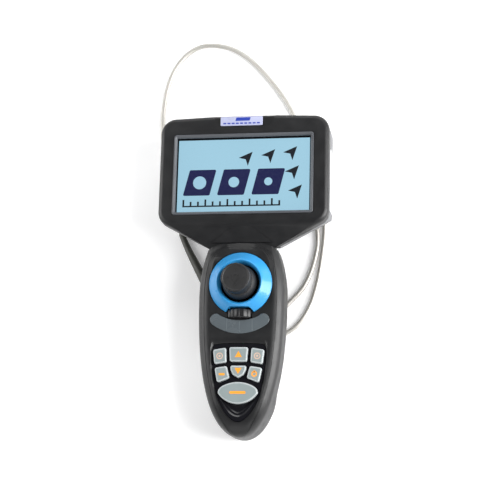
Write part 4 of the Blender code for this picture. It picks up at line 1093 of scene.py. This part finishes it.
# ---- rear and side pieces ----
def make_port_door():
    door = prism("side_door", [(70.35, 54.2), (71.5, 54.2), (71.5, 106.8), (70.35, 106.8)], 19.2,
                 35.6, "silver", top=(0.3, 3))
    join(door, rod("barrel", HINGE, 1.25, -26.3, 26.3, "Y", 32),
         box("web", (70.45, 54.2, 17.7), (71.4, 106.8, 19.6)))
    cut(door, rod("bore", HINGE, 0.75, -30, 30, "Y", 24))
    cut(door, box("nail_notch", (71.1, 76.0, 34.4), (72.5, 85.0, 36.5)))
    one_look(door, "silver")
    show(door, "port_cover", "silver", "port_door")


def make_screws():
    for label, places, z in (("head_screw", SCREW_HEAD, 13.0), ("grip_screw", SCREW_GRIP, 14.6)):
        for k, (x, y) in enumerate(places):
            screw = turned(f"{label}_{k + 1}_piece", [
                (0, z), (2.2, z), (2.6, z + 0.15), (2.8, z + 0.5), (2.8, z + 1.3), (1.35, z + 1.3),
                (1.35, z + 14.0), (0, z + 14.0)], (x, y, 0), steps=32)
            for dx, dy in ((1.6, 0.35), (0.35, 1.6)):
                cut(screw, box("cross", (x - dx, y - dy, z - 1), (x + dx, y + dy, z + 0.9)))
            show(screw, "housing", "steel", f"{label}_{k + 1}")


# ---- insertion tube ----
def distances(points):
    """Distance along a polyline to each of its points."""
    runs = [0.0]
    for a, b in zip(points, points[1:]):
        runs.append(runs[-1] + (b - a).length)
    return runs


def swept(name, centres, radii, sides, look):
    """A round tube through the centres, with a UV map of millimetres along and around it."""
    bm = bmesh.new()
    uv_layer = bm.loops.layers.uv.new("UVMap")
    runs = distances(centres)
    side = None
    rings = []
    for i, centre in enumerate(centres):
        along = (centres[min(i + 1, len(centres) - 1)] - centres[max(i - 1, 0)]).normalized()
        if side is None:
            side = along.cross(Vector((0, 0, 1)))
        side = (side - along * side.dot(along)).normalized()
        up = side.cross(along)
        rings.append([bm.verts.new(centre + (side * x + up * y) * radii[i])
                      for x, y in circle(sides)])
    girth = 2 * pi * max(radii)
    for i in range(len(rings) - 1):
        for k in range(sides):
            n = (k + 1) % sides
            face = bm.faces.new((rings[i][k], rings[i][n], rings[i + 1][n], rings[i + 1][k]))
            places = ((runs[i], k), (runs[i], k + 1), (runs[i + 1], k + 1), (runs[i + 1], k))
            for loop, (run, turn) in zip(face.loops, places):
                loop[uv_layer].uv = (run, girth * turn / sides)
    bm.faces.new(rings[0])
    bm.faces.new(rings[-1])
    return finish(name, bm, look)


def evenly(points, spacing):
    """Points at even spacing along a polyline, and its length."""
    runs = distances(points)
    steps = max(2, round(runs[-1] / spacing))
    result = []
    at = 0
    for k in range(steps + 1):
        want = runs[-1] * k / steps
        while at < len(runs) - 2 and runs[at + 1] < want:
            at += 1
        part = (want - runs[at]) / (runs[at + 1] - runs[at])
        result.append(points[at].lerp(points[at + 1], min(1.0, max(0.0, part))))
    return result, runs[-1]


def make_tube():
    centres, length = evenly(curve_through(TUBE_ROUTE, 16), 2.4)
    tube = swept("braided_tube", centres, [TUBE_D / 2] * len(centres), 20, "braid")
    show(tube, "housing", "braid", "insertion_tube")
    ends = []
    for k in range(3):
        hinge = SEGMENT_Y - SEGMENT_PITCH * k
        ends.append(make_segment(k + 1, hinge - SEGMENT_GAP, hinge - SEGMENT_PITCH + SEGMENT_GAP))
    ends += make_tip()


def make_segment(index, high, low):
    """One ring of the bending section, with a rolled bead at both ends."""
    radius = TUBE_D / 2
    profile = [(0, low), (radius - 0.35, low), (radius - 0.05, low + 0.25), (radius, low + 0.55),
               (radius - 0.12, low + 0.8), (radius - 0.12, high - 0.8), (radius, high - 0.55),
               (radius - 0.05, high - 0.25), (radius - 0.35, high), (0, high)]
    piece = turned(f"bend_ring_{index}", profile, (SEGMENT_X, 0, TUBE_Z), "Y", 32, "steel")
    return show(piece, f"bend_{index}", "braid", f"bend_segment_{index}")


def make_tip():
    high = SEGMENT_Y - SEGMENT_PITCH * 3 - SEGMENT_GAP
    low = high - TIP_LENGTH
    centre = (SEGMENT_X, 0, TUBE_Z)
    tip = turned("tip_sleeve", [(0, low + 0.6), (1.25, low + 0.6), (1.25, low + 0.1), (1.4, low),
                                (1.65, low), (1.85, low + 0.2), (1.95, low + 0.6),
                                (1.95, low + 2.4), (1.85, low + 2.5), (1.85, low + 2.8),
                                (1.95, low + 2.9), (1.95, high - 0.3), (1.7, high), (0, high)],
                 centre, "Y", 40, "steel")
    show(tip, "tip", "steel", "camera_tip")
    lens = turned("tip_window", [(0, low - 0.1), (0.5, low - 0.06), (0.85, low + 0.05),
                                 (0.95, low + 0.3), (0.95, low + 0.5), (0, low + 0.5)], centre, "Y",
                  32, "tip_glass")
    show(lens, "tip", "glass", "tip_lens")
    return [tip, lens]


def make_strain_relief():
    rows = curve_through(BOOT_LINE, 12)
    boot = swept("tube_boot", [Vector(row[:3]) for row in rows], [row[3] for row in rows], 40,
                 "boot_olive")
    show(boot, "housing", "boot_olive", "strain_relief")


def make_gland():
    gland = turned("gland_nut", [(2.6, -7.6), (5.3, -7.6), (5.8, -7.1), (5.8, -3.9), (5.3, -3.2),
                                 (5.2, -2.8), (5.2, -0.3), (5.0, 0.0), (2.6, 0.0)], (0, 0, 0),
                   steps=48, look="knob_black")
    for x, y in circle(12):
        cut(gland, rod("flute", (5.95 * x, 5.95 * y, 0), 0.5, -8.0, -3.6, steps=12))
    turn = Vector((0, 0, 1)).rotation_difference(Vector((*OUTLET_DIR, 0)))
    gland.data.transform(Matrix.Translation(Vector(OUTLET) * MM) @ turn.to_matrix().to_4x4())
    show(gland, "housing", "knob_black", "tube_gland")


def dress_frame():
    """Give each CAD node that still shows the procedural look of its material slot."""
    slots = {entry["node"]: entry["material_slot"] for entry in frame["record"]["subparts"]}
    for name, item in frame["nodes"].items():
        look = "tip_glass" if name == "tip_lens" else slots[name]
        item.data.materials.clear()
        item.data.materials.append(LOOKS[look])


# ---- stage ----
FLOOR_HALF = 3.0

# Name, place and size in metres, power in watts, and the point the lamp looks at.
LAMPS = (
    ("left_soft", (-1.15, 0.25, 0.70), (0.8, 1.2), 12.0, (0.0, 0.0, 0.0)),
    ("right_soft", (1.05, -0.05, 0.60), (0.7, 1.3), 28.0, (0.0, -0.02, 0.03)),
    ("top_soft", (0.1, 1.25, 0.85), (1.4, 0.6), 8.0, (0.0, 0.0, 0.0)),
    ("low_fill", (0.0, -1.25, 0.7), (1.2, 0.5), 3.0, (0.0, -0.05, 0.0)),
)


def make_floor():
    """A light table: the paper glows a little, so the shadows stay faint."""
    corners = [(-FLOOR_HALF, -FLOOR_HALF), (FLOOR_HALF, -FLOOR_HALF), (FLOOR_HALF, FLOOR_HALF),
               (-FLOOR_HALF, FLOOR_HALF)]
    mesh = bpy.data.meshes.new("floor")
    mesh.from_pydata(level(corners, 0.0), [], [(0, 1, 2, 3)])
    paper, tree, shader = new_material("floor_paper")
    mottle = noise(tree, object_coords(tree), 6.0, 3.0)
    feed(tree, shader, {
        "Base Color": ramp(tree, mottle, ((0.3, (0.90, 0.90, 0.90)), (0.7, (0.93, 0.93, 0.93)))),
        "Roughness": 0.9, "Specular IOR Level": 0.1, "Emission Color": (1.0, 1.0, 1.0, 1.0),
        "Emission Strength": 0.22})
    mesh.materials.append(paper)
    add_object("floor", mesh)


def make_studio():
    """Bright walls and a darker ceiling, so level faces stay dark and sloping ones catch light."""
    world = bpy.data.worlds.new("studio")
    world.use_nodes = True
    tree = world.node_tree
    around = tree.nodes.new("ShaderNodeTexCoord").outputs["Generated"]
    height = add_node(tree, "ShaderNodeSeparateXYZ", {"Vector": around}).outputs["Z"]
    walls = ramp(tree, height, ((0.0, (1.0, 1.0, 1.0)), (0.45, (0.9, 0.9, 0.9)),
                                (0.78, (0.32, 0.32, 0.33)), (1.0, (0.06, 0.06, 0.07))))
    feed(tree, tree.nodes["Background"], {"Color": walls, "Strength": 0.55})
    bpy.context.scene.world = world
    bpy.context.scene.view_settings.view_transform = "Standard"
    for name, place, size, power, aim in LAMPS:
        data = bpy.data.lights.new(name, "AREA")
        data.shape = "RECTANGLE"
        data.size, data.size_y = size
        data.energy = power
        lamp = add_object(name, data)
        lamp.location = place
        lamp.rotation_euler = (Vector(aim) - Vector(place)).to_track_quat("-Z", "Y").to_euler()


make_camera()
dress_frame()
make_tube()
make_strain_relief()
make_gland()
make_front_shell()
make_head_rear_cover()
make_handle_rear_shell()
make_screen()
make_badge()
make_joystick()
make_brake_wheel()
make_indicator()
make_keypad()
make_port_door()
make_screws()
make_floor()
make_studio()
